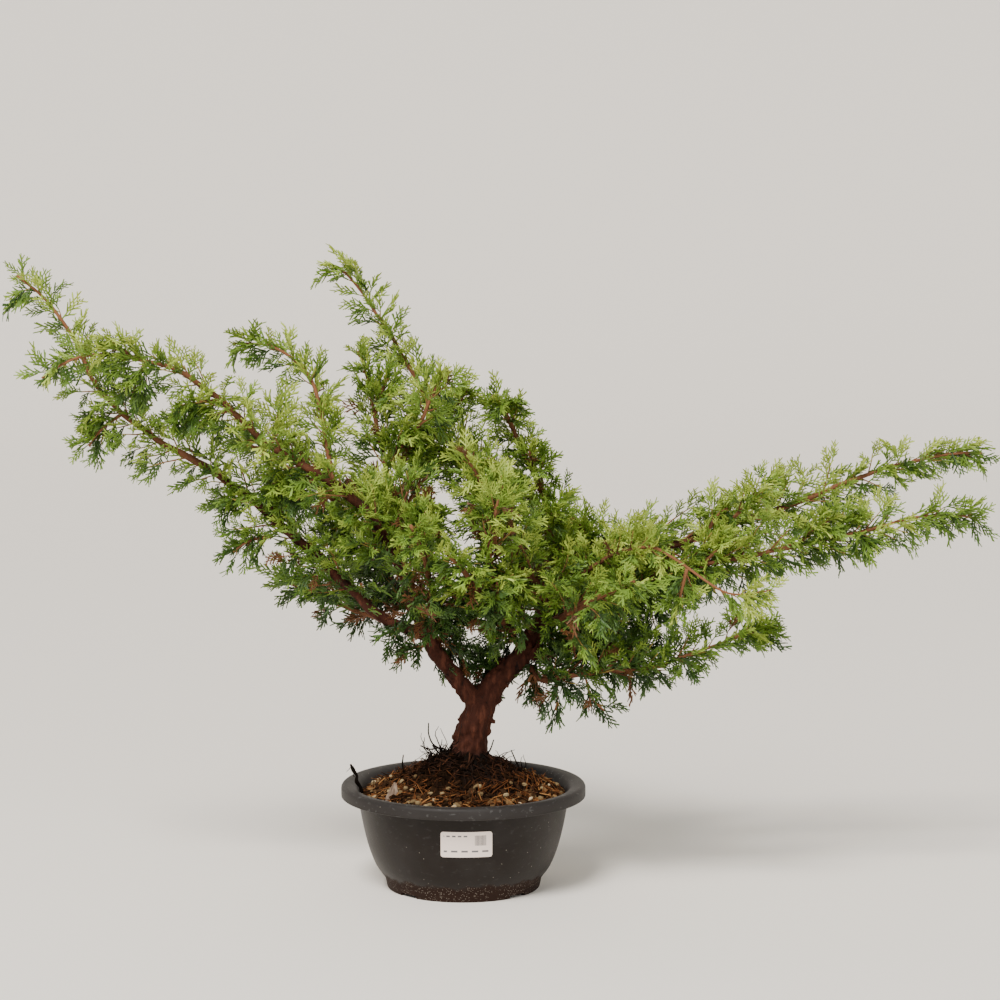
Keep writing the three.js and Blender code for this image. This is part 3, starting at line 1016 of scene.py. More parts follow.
@dataclass
class Sticker:
    """Rounded paper sticker that follows the front of the bowl's wall."""

    bowl: Bowl
    width: float = 0.050
    height: float = 0.026
    corner: float = 0.0025
    centre: tuple[float, float] = (0.004, 0.063)
    lift: float = 0.0004

    def build(self) -> Piece:
        """Lays out a flat sheet, rounds its corners, wraps it round the wall and thickens it.

        Returns:
            The sticker.
        """
        bpy.ops.object.select_all(action="DESELECT")
        bpy.ops.mesh.primitive_grid_add(x_subdivisions=50, y_subdivisions=26, size=1, scale=(1, 1, 1))
        piece = settle(bpy.context.object, "sticker")
        flat = corners_of(piece)[:, :2]
        piece.data.uv_layers[0].name = "face"
        spot = flat * (self.width, self.height)
        inner = np.array((self.width, self.height)) / 2 - self.corner
        beyond = np.maximum(np.abs(spot) - inner, 0.0)
        both = (beyond > 0).all(axis=1)
        reach = np.linalg.norm(beyond, axis=1)
        widest = np.maximum(beyond.max(axis=1), 1e-9)
        beyond[both] *= (widest / np.maximum(reach, 1e-9))[both, None]
        spot = np.sign(spot) * (np.minimum(np.abs(spot), inner) + beyond)
        heights = spot[:, 1] + self.centre[1]
        radii = np.array([self.bowl.wall_radius(height) for height in heights]) + self.lift
        angles = (spot[:, 0] + self.centre[0]) / radii - math.pi / 2
        across, back = AXIS.x + radii * np.cos(angles), AXIS.y + radii * np.sin(angles)
        move_corners(piece, np.column_stack([across, back, heights]))
        modify(piece, "SOLIDIFY", thickness=0.0003, offset=1.0)
        activate(piece)
        bpy.ops.object.shade_smooth_by_angle(angle=math.radians(40))
        STICKER_PAPER.dress(piece)
        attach(piece, "root")
        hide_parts("label")
        return piece


# ---------------------------------------------------------------- soil


class Bit(Enum):
    """Kinds of loose bits that lie on the soil."""

    NEEDLE = "needle"
    CHIP = "chip"
    GRIT = "grit"


@dataclass
class Soil:
    """Lumpy mound of potting mix, with dry needles, chips, grit and wiry roots.

    hollows are dips in the mound: x and y from the bowl's axis, radius and depth. wires are the
    few large roots, point by point from the axis. flake is the grey chip's radius and length.
    kinks and knots are the dead twig's sidesteps and radii, point by point, and rootlets say
    where on it its rootlets start and which way they head. Bits keep within wall_reach of the axis.
    """

    seed: int = 11
    lump: float = 0.0030
    crumb: float = 0.0012
    hollows: tuple[tuple[float, float, float, float], ...] = (
        (-0.024, -0.052, 0.0085, 0.011), (0.004, -0.056, 0.0090, 0.011), (0.028, -0.060, 0.0060, 0.007),
        (-0.050, -0.036, 0.0060, 0.006), (0.050, 0.030, 0.0080, 0.008), (-0.040, 0.046, 0.0080, 0.009),
    )
    wires: tuple[tuple[tuple[float, float, float], ...], ...] = (
        (
            (-0.010, -0.006, 0.128), (-0.022, -0.010, 0.138), (-0.030, -0.012, 0.144),
            (-0.034, -0.012, 0.154), (-0.034, -0.012, 0.165),
        ),
        ((-0.012, -0.008, 0.134), (-0.022, -0.012, 0.140), (-0.032, -0.014, 0.139), (-0.042, -0.016, 0.143)),
        ((-0.030, -0.012, 0.143), (-0.025, -0.014, 0.136), (-0.026, -0.013, 0.128), (-0.022, -0.012, 0.122)),
        ((0.020, -0.004, 0.130), (0.026, -0.006, 0.136), (0.030, -0.006, 0.147)),
        ((0.060, 0.004, 0.108), (0.054, 0.002, 0.119), (0.047, 0.002, 0.135)),
        ((-0.058, -0.004, 0.112), (-0.060, -0.006, 0.122), (-0.059, -0.006, 0.132)),
    )
    needle_count: int = 1750
    chip_count: int = 1350
    grit_count: int = 135
    flake: tuple[float, float] = (0.0105, 0.021)
    flake_turn: tuple[float, float, float] = (-0.35, 0.28, 0.25)
    kinks: tuple[float, ...] = (0.0, 0.0006, -0.0010, 0.0014, 0.0, -0.0004)
    knots: tuple[float, ...] = (0.0021, 0.0016, 0.0020, 0.0013, 0.0019, 0.0010)
    rootlets: tuple[tuple[float, tuple[float, float, float]], ...] = (
        (0.55, (-0.9, -0.1, -0.5)), (0.72, (0.7, -0.2, 0.7)), (0.90, (-0.8, -0.1, 0.1)),
    )
    wall_reach: float = 0.1008
    tuft_count: int = 46
    stray_count: int = 14
    runner_count: int = 105
    rng: np.random.Generator = field(init=False)
    flare: Array = field(init=False)
    spots: Array = field(init=False)
    slopes: Array = field(init=False)
    areas: Array = field(init=False)
    reach: Array = field(init=False)

    def __post_init__(self) -> None:
        """Seeds the random numbers and finds the middle of the trunk's flare."""
        self.rng = np.random.default_rng(self.seed)
        self.flare = np.array((AXIS.x + 0.006, AXIS.y + 0.004, 0.0))

    def build(self) -> Piece:
        """Copies the CAD mound, divides it finely and heaves its top into lumps and hollows.

        Returns:
            The mound.
        """
        piece = node_copy(["soil"], "soil_mound")
        modify(piece, "SUBSURF", subdivision_type="SIMPLE", levels=3, render_levels=3)
        corners = corners_of(piece)
        normals = normals_of(piece)
        flat = corners[:, :2] - np.array(AXIS[:2])
        reach = np.linalg.norm(flat, axis=1)
        top = (corners[:, 2] > BOWL_HIGH.z - 0.0118) & (normals[:, 2] > 0.15)
        calm = np.clip((0.1005 - reach) / 0.012, 0.0, 1.0)
        for index in np.flatnonzero(top):
            spot = Vector(corners[index])
            heave = self.lump * noise.fractal(spot * 70, 1.0, 2.0, 3)
            heave += self.crumb * noise.noise(spot * 380)
            for x, y, radius, depth in self.hollows:
                away = math.hypot(flat[index, 0] - x, flat[index, 1] - y) / radius
                heave -= depth * math.exp(-away**2)
            corners[index, 2] += calm[index] * heave
        move_corners(piece, corners)
        set_tones(piece, self.rng.uniform(0.2, 0.8, len(corners)))
        activate(piece)
        bpy.ops.object.shade_smooth()
        SOIL.dress(piece)
        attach(piece, "root")
        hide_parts("soil")
        self.find_spots(piece)
        return piece

    def find_spots(self, piece: Piece) -> None:
        """Notes the middles of the mound's upper faces, with their slopes and areas."""
        count = face_count(piece)
        spots, slopes, areas = np.empty(3 * count), np.empty(3 * count), np.empty(count)
        piece.data.polygons.foreach_get("center", spots)
        piece.data.polygons.foreach_get("normal", slopes)
        piece.data.polygons.foreach_get("area", areas)
        spots, slopes = spots.reshape(-1, 3), slopes.reshape(-1, 3)
        flat = spots[:, :2] - np.array(AXIS[:2])
        reach = np.linalg.norm(flat, axis=1)
        for x, y, radius, _ in self.hollows:
            areas *= 1 - 0.85 * np.exp(-(((flat[:, 0] - x) ** 2 + (flat[:, 1] - y) ** 2) / radius**2))
        kept = (slopes[:, 2] > 0.25) & (reach < 0.0995) & (spots[:, 2] > BOWL_HIGH.z - 0.018)
        self.spots, self.slopes, self.areas = spots[kept], slopes[kept], areas[kept]
        self.reach = reach[kept]

    def bit(self, kind: Bit) -> tuple[Array, list[list[int]]]:
        """One loose bit, modelled once.

        Args:
            kind: Which bit.

        Returns:
            Its corners, one unit long along X, and its faces.
        """
        bpy.ops.object.select_all(action="DESELECT")
        if kind is Bit.NEEDLE:
            lying = (0, math.pi / 2, 0)
            bpy.ops.mesh.primitive_cone_add(vertices=4, radius1=0.5, radius2=0.22, depth=1, rotation=lying)
        elif kind is Bit.CHIP:
            bpy.ops.mesh.primitive_cube_add(size=1)
        else:
            bpy.ops.mesh.primitive_ico_sphere_add(subdivisions=2, radius=0.5)
        piece = settle(bpy.context.object, kind.value)
        bpy.ops.object.mode_set(mode="EDIT")
        bpy.ops.mesh.select_all(action="SELECT")
        if kind is Bit.NEEDLE:
            bpy.ops.mesh.bisect(plane_co=(0, 0, 0), plane_no=(1, 0, 0))
        if kind is Bit.CHIP:
            bpy.ops.mesh.bevel(offset=0.16, segments=1, affect="EDGES")
        bpy.ops.object.mode_set(mode="OBJECT")
        corners = corners_of(piece)
        if kind is Bit.NEEDLE:
            corners[:, 2] += 6.0 * (0.25 - corners[:, 0] ** 2)
        else:
            corners += 0.10 * np.array([noise.noise_vector(Vector(corner) * 3.1) for corner in corners])
        faces = [list(face.vertices) for face in piece.data.polygons]
        bpy.data.objects.remove(piece)
        return corners, faces

    def scatter(self, kind: Bit, count: int, sizes: Sequence[tuple[float, float]], name: str,
                finish: Finish, nodes: Sequence[str], tilt: float, rimwards: float) -> Piece:
        """Strews copies of a bit over the mound.

        Args:
            kind: Which bit.
            count: How many copies.
            sizes: Lowest and highest length, width and thickness, in metres.
            name: The piece's name.
            finish: Its finish.
            nodes: The CAD nodes that it stands for.
            tilt: How far a bit may stand out of the surface, in radians.
            rimwards: How strongly the bits keep towards the rim.

        Returns:
            The piece with all the copies.
        """
        corners, faces = self.bit(kind)
        stock = MeshStock()
        odds = self.areas * self.reach**rimwards
        picked = self.rng.choice(len(self.spots), count, p=odds / odds.sum())
        for index in picked:
            size = np.array([self.rng.uniform(low, high) for low, high in sizes])
            normal = unit(self.slopes[index] + self.rng.normal(0, 0.12, 3))
            heading = self.rng.uniform(0, 2 * math.pi)
            along = np.array((math.cos(heading), math.sin(heading), 0.0))
            along = unit(along - normal * np.dot(along, normal) + normal * self.rng.normal(0, tilt))
            across = unit(np.cross(normal, along))
            basis = np.stack([along, across, np.cross(along, across)])
            jitter = self.rng.normal(0, 0.0012, 3) * (1, 1, 0)
            place = self.spots[index] + jitter + normal * size[2] * self.rng.uniform(0.1, 0.9)
            copy = (corners * size) @ basis + place
            flat = copy[:, :2] - np.array(AXIS[:2])
            over = max(0.0, float(np.linalg.norm(flat, axis=1).max()) - self.wall_reach)
            copy[:, :2] -= over * unit(flat.mean(axis=0))
            # bits nearer the trunk get a lower tone, so they are darker
            dry = float(np.clip((self.reach[index] - 0.034) / 0.050, 0.02, 1.0))
            level = self.rng.beta(1.3, 1.9) * dry
            stock.add(copy, faces, np.full(len(corners), level))
        piece = stock.piece(name)
        finish.dress(piece)
        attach(piece, "root")
        if nodes:
            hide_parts(*nodes)
        return piece

    def strew(self) -> list[Piece]:
        """Lays needles, chips and grit over the mound.

        Returns:
            The three pieces.
        """
        needles = self.scatter(
            Bit.NEEDLE, self.needle_count, ((0.009, 0.030), (0.0009, 0.0016), (0.0007, 0.0012)),
            "dry_needles", DRY_NEEDLE, [], 0.24, 0.6,
        )
        chips = self.scatter(
            Bit.CHIP, self.chip_count, ((0.004, 0.010), (0.0025, 0.0062), (0.001, 0.0028)),
            "bark_chips", CHIP, [], 0.3, 0.5,
        )
        stones = [f"grit_stone_{number}" for number in range(1, 5)]
        grit = self.scatter(
            Bit.GRIT, self.grit_count, ((0.0036, 0.0085), (0.0032, 0.0064), (0.0026, 0.0050)),
            "pumice_grit", GRIT, stones, 0.3, 5.0,
        )
        return [needles, chips, grit]

    def chip(self) -> Piece:
        """The one big grey bark chip that stands in the soil at the left.

        Returns:
            The chip.
        """
        low, high = (Vector(corner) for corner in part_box("bark_chip"))
        middle = (low + high) / 2 + Vector((0.001, 0, 0.004))
        bpy.ops.object.select_all(action="DESELECT")
        bpy.ops.mesh.primitive_cone_add(
            vertices=3, radius1=self.flake[0], radius2=0.0015, depth=self.flake[1],
            location=middle, rotation=self.flake_turn, scale=(1.0, 0.34, 1.0),
        )
        piece = settle(bpy.context.object, "grey_chip")
        bpy.ops.object.mode_set(mode="EDIT")
        bpy.ops.mesh.select_all(action="SELECT")
        bpy.ops.mesh.subdivide(number_cuts=5, fractal=0.9, fractal_along_normal=0.6, seed=3)
        bpy.ops.object.mode_set(mode="OBJECT")
        set_tones(piece, self.rng.uniform(0.2, 0.9, len(piece.data.vertices)))
        GREY_BARK.dress(piece)
        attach(piece, "root")
        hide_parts("bark_chip")
        return piece

    def strand(self, start: Array, heading: Array, length: float, radius: float, wander: float) -> CentreLine:
        """A wandering root or dead twig.

        Args:
            start: Where it leaves the soil.
            heading: Its first direction.
            length: Its length.
            radius: Its radius at the start.
            wander: How much it turns from step to step.

        Returns:
            Its centre line.
        """
        steps = max(4, round(length / 0.004))
        points = [start]
        for _ in range(steps):
            heading = unit(heading + self.rng.normal(0, wander, 3))
            points.append(points[-1] + heading * length / steps)
        return CentreLine(np.array(points), np.linspace(radius, 0.35 * radius, steps + 1))

    def soil_at(self, distance: float, angle: float) -> Array:
        """The spot of the mound's surface at a distance and an angle from the trunk's flare."""
        target = self.flare[:2] + polar(distance, angle)[:2]
        return self.spots[int(np.argmin(np.linalg.norm(self.spots[:, :2] - target, axis=1)))]

    def roots(self) -> list[Piece]:
        """Roots that stand up round the trunk and run down the mound, and the dead twig.

        Returns:
            The roots and the dead twig.
        """
        stock = MeshStock()
        for _ in range(self.tuft_count):
            self.add_tuft_root(stock)
        for path in self.wires:
            radii = np.linspace(0.0011, 0.0006, len(path))
            line = CentreLine(np.array(path) + np.array(AXIS), radii).smoothed(0.003)
            line.add_tube(stock, 5, np.full(len(line.points), 0.08))
        for _ in range(self.stray_count):
            self.add_stray_root(stock)
        for _ in range(self.runner_count):
            self.add_runner(stock)
        roots = stock.piece("fine_roots")
        ROOT.dress(roots)
        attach(roots, "root")
        return [roots, self.dead_twig()]

    def add_tuft_root(self, stock: MeshStock) -> None:
        """Adds one root of the tuft that stands up on the left of the trunk."""
        angle = math.pi + self.rng.normal(0, 0.5)
        start = self.soil_at(self.rng.uniform(0.014, 0.042), angle)
        heading = unit(polar(0.5, angle, self.rng.uniform(0.3, 1.2)))
        radius = self.rng.uniform(0.0005, 0.0010)
        line = self.strand(start, heading, self.rng.uniform(0.014, 0.042), radius, 0.40)
        line.add_tube(stock, 4, np.full(len(line.points), self.rng.uniform(0.0, 0.25)))

    def add_stray_root(self, stock: MeshStock) -> None:
        """Adds one thin root that stands up on the right of the trunk."""
        angle = self.rng.normal(0.0, 0.6)
        start = self.soil_at(self.rng.uniform(0.018, 0.060), angle)
        heading = unit(polar(0.4, angle, self.rng.uniform(0.5, 1.3)))
        line = self.strand(start, heading, self.rng.uniform(0.010, 0.024), 0.0006, 0.3)
        line.add_tube(stock, 4, np.full(len(line.points), self.rng.uniform(0.0, 0.35)))

    def add_runner(self, stock: MeshStock) -> None:
        """Adds one root that runs from the trunk's collar down over the mound."""
        angle = self.rng.uniform(0, 2 * math.pi)
        collar = self.flare + polar(self.rng.uniform(0.010, 0.018), angle)
        collar[2] = self.rng.uniform(0.124, 0.141)
        points = [collar]
        first, last = self.rng.uniform(0.022, 0.028), self.rng.uniform(0.040, 0.092)
        for distance in np.arange(first, last, 0.006):
            angle += self.rng.normal(0, 0.10)
            points.append(self.soil_at(distance, angle) + UP * self.rng.uniform(0.0002, 0.0030))
        radius = self.rng.uniform(0.0004, 0.0013)
        radii = np.linspace(radius, 0.4 * radius, len(points))
        line = CentreLine(np.array(points), radii).smoothed(0.003)
        line.add_tube(stock, 5, np.full(len(line.points), self.rng.beta(1.1, 2.8)))

    def dead_twig(self) -> Piece:
        """The crooked black twig that stands at the rim, with three short rootlets.

        Returns:
            The twig.
        """
        low, high = (np.array(corner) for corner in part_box("dead_twig"))
        stock = MeshStock()
        foot = np.array((high[0] - 0.002, high[1] - 0.002, low[2]))
        head = np.array((low[0] + 0.002, low[1] + 0.001, high[2]))
        shares = np.linspace(0, 1, len(self.kinks))
        bent = foot + np.outer(shares, head - foot) + np.array([(kink, 0, 0) for kink in self.kinks])
        line = CentreLine(bent, np.array(self.knots)).smoothed(0.0015)
        line.add_tube(stock, 8, np.full(len(line.points), 0.1))
        for share, heading in self.rootlets:
            start = line.at(share * line.lengths[-1])[0]
            side = self.strand(start, unit(np.array(heading)), 0.008, 0.0005, 0.45)
            side.add_tube(stock, 4, np.full(len(side.points), 0.1))
        twig = stock.piece("dead_stub")
        ROOT.dress(twig)
        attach(twig, "root")
        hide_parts("dead_twig")
        return twig


# ---------------------------------------------------------------- wood


@dataclass
class TrunkWood:
    """Trunk, both limbs and the flare of roots, as one skin of flaking bark.

    stubs are knots and cut twigs: foot from the bowl's axis, direction, length and radius.
    """

    nodes: tuple[str, ...] = ("trunk", "right_limb", "left_limb")
    voxel: float = 0.0011
    plate_depth: float = 0.0015
    lump_depth: float = 0.0022
    slimming: float = 0.0010
    stubs: tuple[tuple[tuple[float, float, float], tuple[float, float, float], float, float], ...] = (
        ((0.068, 0.002, 0.226), (0.30, -0.40, 0.85), 0.024, 0.0042),
        ((0.031, 0.000, 0.184), (0.90, -0.30, 0.15), 0.007, 0.0040),
        ((0.024, -0.004, 0.166), (0.90, -0.40, -0.10), 0.009, 0.0036),
        ((0.018, -0.002, 0.152), (0.95, -0.20, 0.10), 0.010, 0.0050),
        ((-0.002, -0.002, 0.166), (-0.90, -0.30, 0.20), 0.006, 0.0036),
        ((-0.004, -0.002, 0.150), (-0.90, -0.30, -0.10), 0.008, 0.0045),
        ((0.010, -0.010, 0.158), (0.10, -0.95, 0.10), 0.008, 0.0036),
        ((0.038, -0.004, 0.204), (0.70, -0.60, -0.30), 0.009, 0.0032),
        ((0.056, 0.002, 0.232), (-0.60, -0.60, 0.40), 0.009, 0.0030),
        ((-0.024, -0.008, 0.230), (-0.80, -0.30, 0.10), 0.010, 0.0028),
        ((-0.004, -0.004, 0.202), (-0.80, -0.50, -0.10), 0.006, 0.0026),
    )

    def build(self) -> Piece:
        """Fuses the CAD wood, rounds it and raises bark plates and knots on it.

        Returns:
            The trunk.
        """
        stock = MeshStock()
        for start, heading, length, radius in self.stubs:
            foot = np.array(start) + np.array(AXIS)
            ends = foot + np.outer(np.linspace(0, length, 4), unit(np.array(heading)))
            line = CentreLine(ends, radius * np.array((1.5, 1.1, 0.9, 0.75)))
            line.add_tube(stock, 8, np.zeros(len(ends)))
        piece = joined([node_copy(self.nodes, "wood"), stock.piece("stubs")], "trunk_and_limbs")
        piece.data.attributes.remove(piece.data.attributes["tone"])
        piece.data.remesh_voxel_size = self.voxel
        activate(piece)
        bpy.ops.object.voxel_remesh()
        modify(piece, "SMOOTH", factor=0.5, iterations=16)
        corners, normals = corners_of(piece), normals_of(piece)
        lift = np.array([self.lift(Vector(corner)) for corner in corners])
        move_corners(piece, corners + normals * lift[:, None])
        set_tones(piece, np.zeros(len(corners)))
        activate(piece)
        bpy.ops.object.shade_smooth()
        BARK.dress(piece)
        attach(piece, "root")
        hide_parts(*self.nodes)
        return piece

    def lift(self, spot: Vector) -> float:
        """How far the bark stands out.

        Args:
            spot: Where on the wood.

        Returns:
            The height in metres, below nought for a crack.
        """
        stretched = Vector((spot.x * 95, spot.y * 95, spot.z * 34))
        near, next_near = noise.voronoi(stretched)[0][:2]
        plate = min(1.0, (next_near - near) * 3.2)
        lump = noise.fractal(spot * 62, 1.0, 2.0, 3)
        shred = noise.noise(Vector((spot.x * 420, spot.y * 420, spot.z * 110)))
        return self.plate_depth * (plate - 0.6) + self.lump_depth * lump + 0.0005 * shred - self.slimming


# ---------------------------------------------------------------- branches and foliage


@dataclass
class Sprig:
    """A small antler-like spray of scale-leaved shoots, modelled along +Z with its fan in XZ."""

    corners: Array
    faces: list[list[int]]
    length: float

    @classmethod
    def grown(cls, seed: int) -> "Sprig":
        """Models one sprig from cones.

        Args:
            seed: Which of the sprigs to grow.

        Returns:
            The sprig.
        """
        rng = np.random.default_rng(100 + seed)
        length = rng.uniform(0.023, 0.030)
        shoots = [(np.zeros(3), np.array((0.0, 0.0, 1.0)), length, 0.00092)]
        count = int(rng.integers(7, 10))
        for index in range(count):
            share = 0.14 + 0.72 * index / (count - 1) + rng.uniform(-0.02, 0.02)
            side = 1 if index % 2 else -1
            angle = math.radians(rng.uniform(28, 48))
            heading = unit(np.array((side * math.sin(angle), rng.normal(0, 0.28), math.cos(angle))))
            reach = length * (0.56 - 0.26 * share) * rng.uniform(0.75, 1.2)
            start = np.array((0.0, 0.0, share * length))
            shoots.append((start, heading, reach, 0.00108))
            for turn in (-1, 1) if reach > 0.0115 else (-1,) if reach > 0.008 else ():
                inner = unit(heading + np.array((turn * side * 0.7, rng.normal(0, 0.35), 0.4)))
                fork = start + heading * reach * rng.uniform(0.3, 0.5)
                shoots.append((fork, inner, 0.0062 * rng.uniform(0.8, 1.3), 0.00098))
        pieces = [cls._shoot(*shoot) for shoot in shoots]
        piece = joined(pieces, "sprig")
        corners = corners_of(piece)
        corners[:, 1] += corners[:, 2] ** 2 / length * rng.uniform(0.1, 0.4)
        faces = [list(face.vertices) for face in piece.data.polygons]
        bpy.data.objects.remove(piece)
        return cls(corners, faces, float(length))

    @staticmethod
    def _shoot(start: Array, heading: Array, length: float, radius: float) -> Piece:
        """One tapering three-sided shoot from a start point."""
        turn = Vector(heading).to_track_quat("Z", "Y").to_euler()
        bpy.ops.object.select_all(action="DESELECT")
        bpy.ops.mesh.primitive_cone_add(
            vertices=3, radius1=radius, radius2=0.62 * radius, depth=length,
            location=Vector(start + heading * length / 2), rotation=turn,
        )
        return bpy.context.object


@dataclass
class Branch:
    """One branch: its wood, its side twigs and its sprigs.

    The name is that of its CAD nodes. leafy_from is the bare share of its length, reach the
    length of its longest side twig, droop how far its twigs hang (or rise, below nought), skirt
    how much longer the twigs near its foot are, tone how light its green is, young whether it
    counts as young growth, dead the share of brown sprigs, bare a stretch without twigs, slim a
    factor on the wood's radius, and spacing the distance between side twigs.
    """

    name: str
    leafy_from: float
    reach: float
    droop: float = 0.0
    skirt: float = 0.0
    tone: float = 0.5
    young: bool = True
    dead: float = 0.02
    bare: tuple[float, float] = (0.0, 0.0)
    slim: float = 1.0
    spacing: float = 0.0054
    line: CentreLine = field(kw_only=True)
    TIP: ClassVar[float] = 0.013  # how much of its length the spray at its end takes up
    SPRIG_SPACING: ClassVar[float] = 0.0068
    TURN: ClassVar[float] = 0.75  # how far side twigs leave the plane of the fan

    def tone_at(self, spot: Array, above: float, rng: np.random.Generator) -> float:
        """Tone of a sprig.

        Args:
            spot: Where it grows.
            above: How far it points up, from -1 to 1.
            rng: The branch's random numbers.

        Returns:
            The tone, below nought if the sprig is dead.
        """
        away = math.hypot(spot[0] - AXIS.x, spot[1] - AXIS.y)
        inner = math.exp(-((away / 0.14) ** 2))
        height = float(np.clip((spot[2] - 0.27) / 0.16, 0.0, 1.0))
        if rng.random() < (self.dead + 0.12 * (1 - height)) * inner:
            return -1.0
        # painted shade: sprigs near the axis and low in the crown are made darker
        shade = inner * (1 - height) * 0.34
        # sprigs that point up are made lighter, partly for younger growth and partly as painted light from
        # above
        return max(0.0, self.tone + 0.03 + 0.18 * above - shade + float(rng.normal(0, 0.12)))

    def grow(self, sprigs: Sequence[Sprig], seed: int) -> tuple[Piece, Piece]:
        """Grows the branch's wood and foliage.

        Args:
            sprigs: The sprigs to copy.
            seed: Starts its random numbers.

        Returns:
            The wood and the foliage.
        """
        rng = np.random.default_rng(seed)
        wood, leaves = MeshStock(), MeshStock()
        self.line = self.line.shortened(self.TIP)
        tones = np.clip((0.0068 - self.line.radii) / 0.0058, 0.0, 1.0) ** 1.2 * 0.62
        sway = np.array([noise.noise_vector(Vector(point) * 38) for point in self.line.points])
        ends = np.minimum(np.arange(len(sway)), 6) / 6
        swayed = self.line.points + sway * (self.line.radii * 0.8 * ends)[:, None]
        self.line = CentreLine(swayed, self.line.radii * self.slim)
        self.line.add_tube(wood, 10, tones)
        lengths = self.line.lengths
        total = lengths[-1]
        distance = total * self.leafy_from
        side = 1.0
        while distance < total - 0.004:
            share = max(0.0, (distance / total - self.leafy_from) / (1 - self.leafy_from))
            if not self.bare[0] < distance / total < self.bare[1]:
                self.add_twig(wood, leaves, sprigs, distance, share, side, rng)
            side = -side
            distance += self.spacing * rng.uniform(0.6, 1.3) * (1 + 0.6 * share)
        point, heading, _ = self.line.at(total)
        tip = CentreLine(np.array([point - heading * 0.034, point - heading * 0.015]), np.zeros(2))
        self.add_sprigs(leaves, sprigs, tip, rng, 0.006)
        timber = wood.piece(self.name + "_wood")
        foliage = leaves.piece(self.name + "_sprays")
        for piece in (timber, foliage):
            draw_in(piece)
        activate(timber)
        bpy.ops.object.shade_smooth()
        BARK.dress(timber)
        LEAF.dress(foliage)
        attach(timber, "root")
        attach(foliage, "root")
        return timber, foliage

    def add_twig(self, wood: MeshStock, leaves: MeshStock, sprigs: Sequence[Sprig], distance: float,
                 share: float, side: float, rng: np.random.Generator) -> None:
        """Adds one side twig with its sprigs.

        Args:
            wood: Where the twig's wood goes.
            leaves: Where its sprigs go.
            sprigs: The sprigs to copy.
            distance: Where on the branch it starts.
            share: The same, from 0 at the first twig to 1 at the tip.
            side: Which side of the branch it grows on, 1 or -1.
            rng: The branch's random numbers.
        """
        point, tangent, radius = self.line.at(distance)
        level = unit(np.cross(tangent, BACK if abs(tangent[1]) < 0.7 else UP))
        other = np.cross(tangent, level)
        around = rng.normal(0, self.TURN)
        outward = side * level * math.cos(around) + other * math.sin(around)
        spread = math.radians(rng.uniform(32, 62) - 12 * share)
        lean = np.array((0.0, 0.0, -self.droop))
        heading = unit(tangent * math.cos(spread) + outward * math.sin(spread) + lean)
        full = self.reach * (1 + self.skirt * (1 - share) ** 2) * (1 - 0.9 * share**1.7)
        length = max(full * rng.uniform(0.3, 1.0), 0.006)
        steps = max(3, round(length / 0.008))
        points = [point]
        bend = unit(tangent + 0.5 * rng.normal(0, 1, 3)) * 0.16
        for _ in range(steps):
            heading = unit(heading + bend * 0.5 + rng.normal(0, 0.07, 3) + lean * 0.2)
            points.append(points[-1] + heading * length / steps)
        thick = float(np.clip(0.0105 * length + 0.0005, 0.0007, min(0.0013, radius)))
        line = CentreLine(np.array(points), np.linspace(thick, 0.0005, len(points)))
        line.add_tube(wood, 5, np.linspace(0.5, 1.0, len(points)) + rng.normal(0, 0.06))
        self.add_sprigs(leaves, sprigs, line, rng, self.SPRIG_SPACING)

    def add_sprigs(self, leaves: MeshStock, sprigs: Sequence[Sprig], line: CentreLine,
                   rng: np.random.Generator, spacing: float) -> None:
        """Sets sprigs along a twig, alternately on both sides, and one at its tip.

        Args:
            leaves: Where the sprigs go.
            sprigs: The sprigs to copy.
            line: The twig's centre line.
            rng: The branch's random numbers.
            spacing: Distance between sprigs.
        """
        total = line.lengths[-1]
        heading = line.at(total / 2)[1]
        plane = unit(np.cross(heading, rng.normal(0, 1, 3) * 0.6 + np.array((0.0, 1.0, 0.35))))
        distances = list(np.arange(total * 0.16, total, spacing)) + [total]
        for index, distance in enumerate(distances):
            point, tangent, _ = line.at(min(distance, total - 1e-6))
            tip = index == len(distances) - 1
            angle = 0.0 if tip else math.radians(rng.uniform(32, 55)) * (1 if index % 2 else -1)
            across = unit(plane - tangent * np.dot(plane, tangent))
            towards = unit(tangent * math.cos(angle) + across * math.sin(angle) + rng.normal(0, 0.16, 3))
            normal = unit(np.cross(towards, across) + rng.normal(0, 0.3, 3))
            sideways = unit(np.cross(normal, towards))
            basis = np.stack([sideways, np.cross(towards, sideways), towards])
            sprig = sprigs[int(rng.integers(len(sprigs)))]
            size = rng.uniform(0.65, 1.05) * (1.0 - 0.22 * distance / max(total, 0.02))
            level = self.tone_at(point, float(towards[2]), rng)
            rise = np.clip(sprig.corners[:, 2] / sprig.length, 0, 1) * 0.30 if level >= 0 else 0.0
            tones = level + rise + np.zeros(len(sprig.corners))
            leaves.add(sprig.corners * size @ basis + point, sprig.faces, tones)
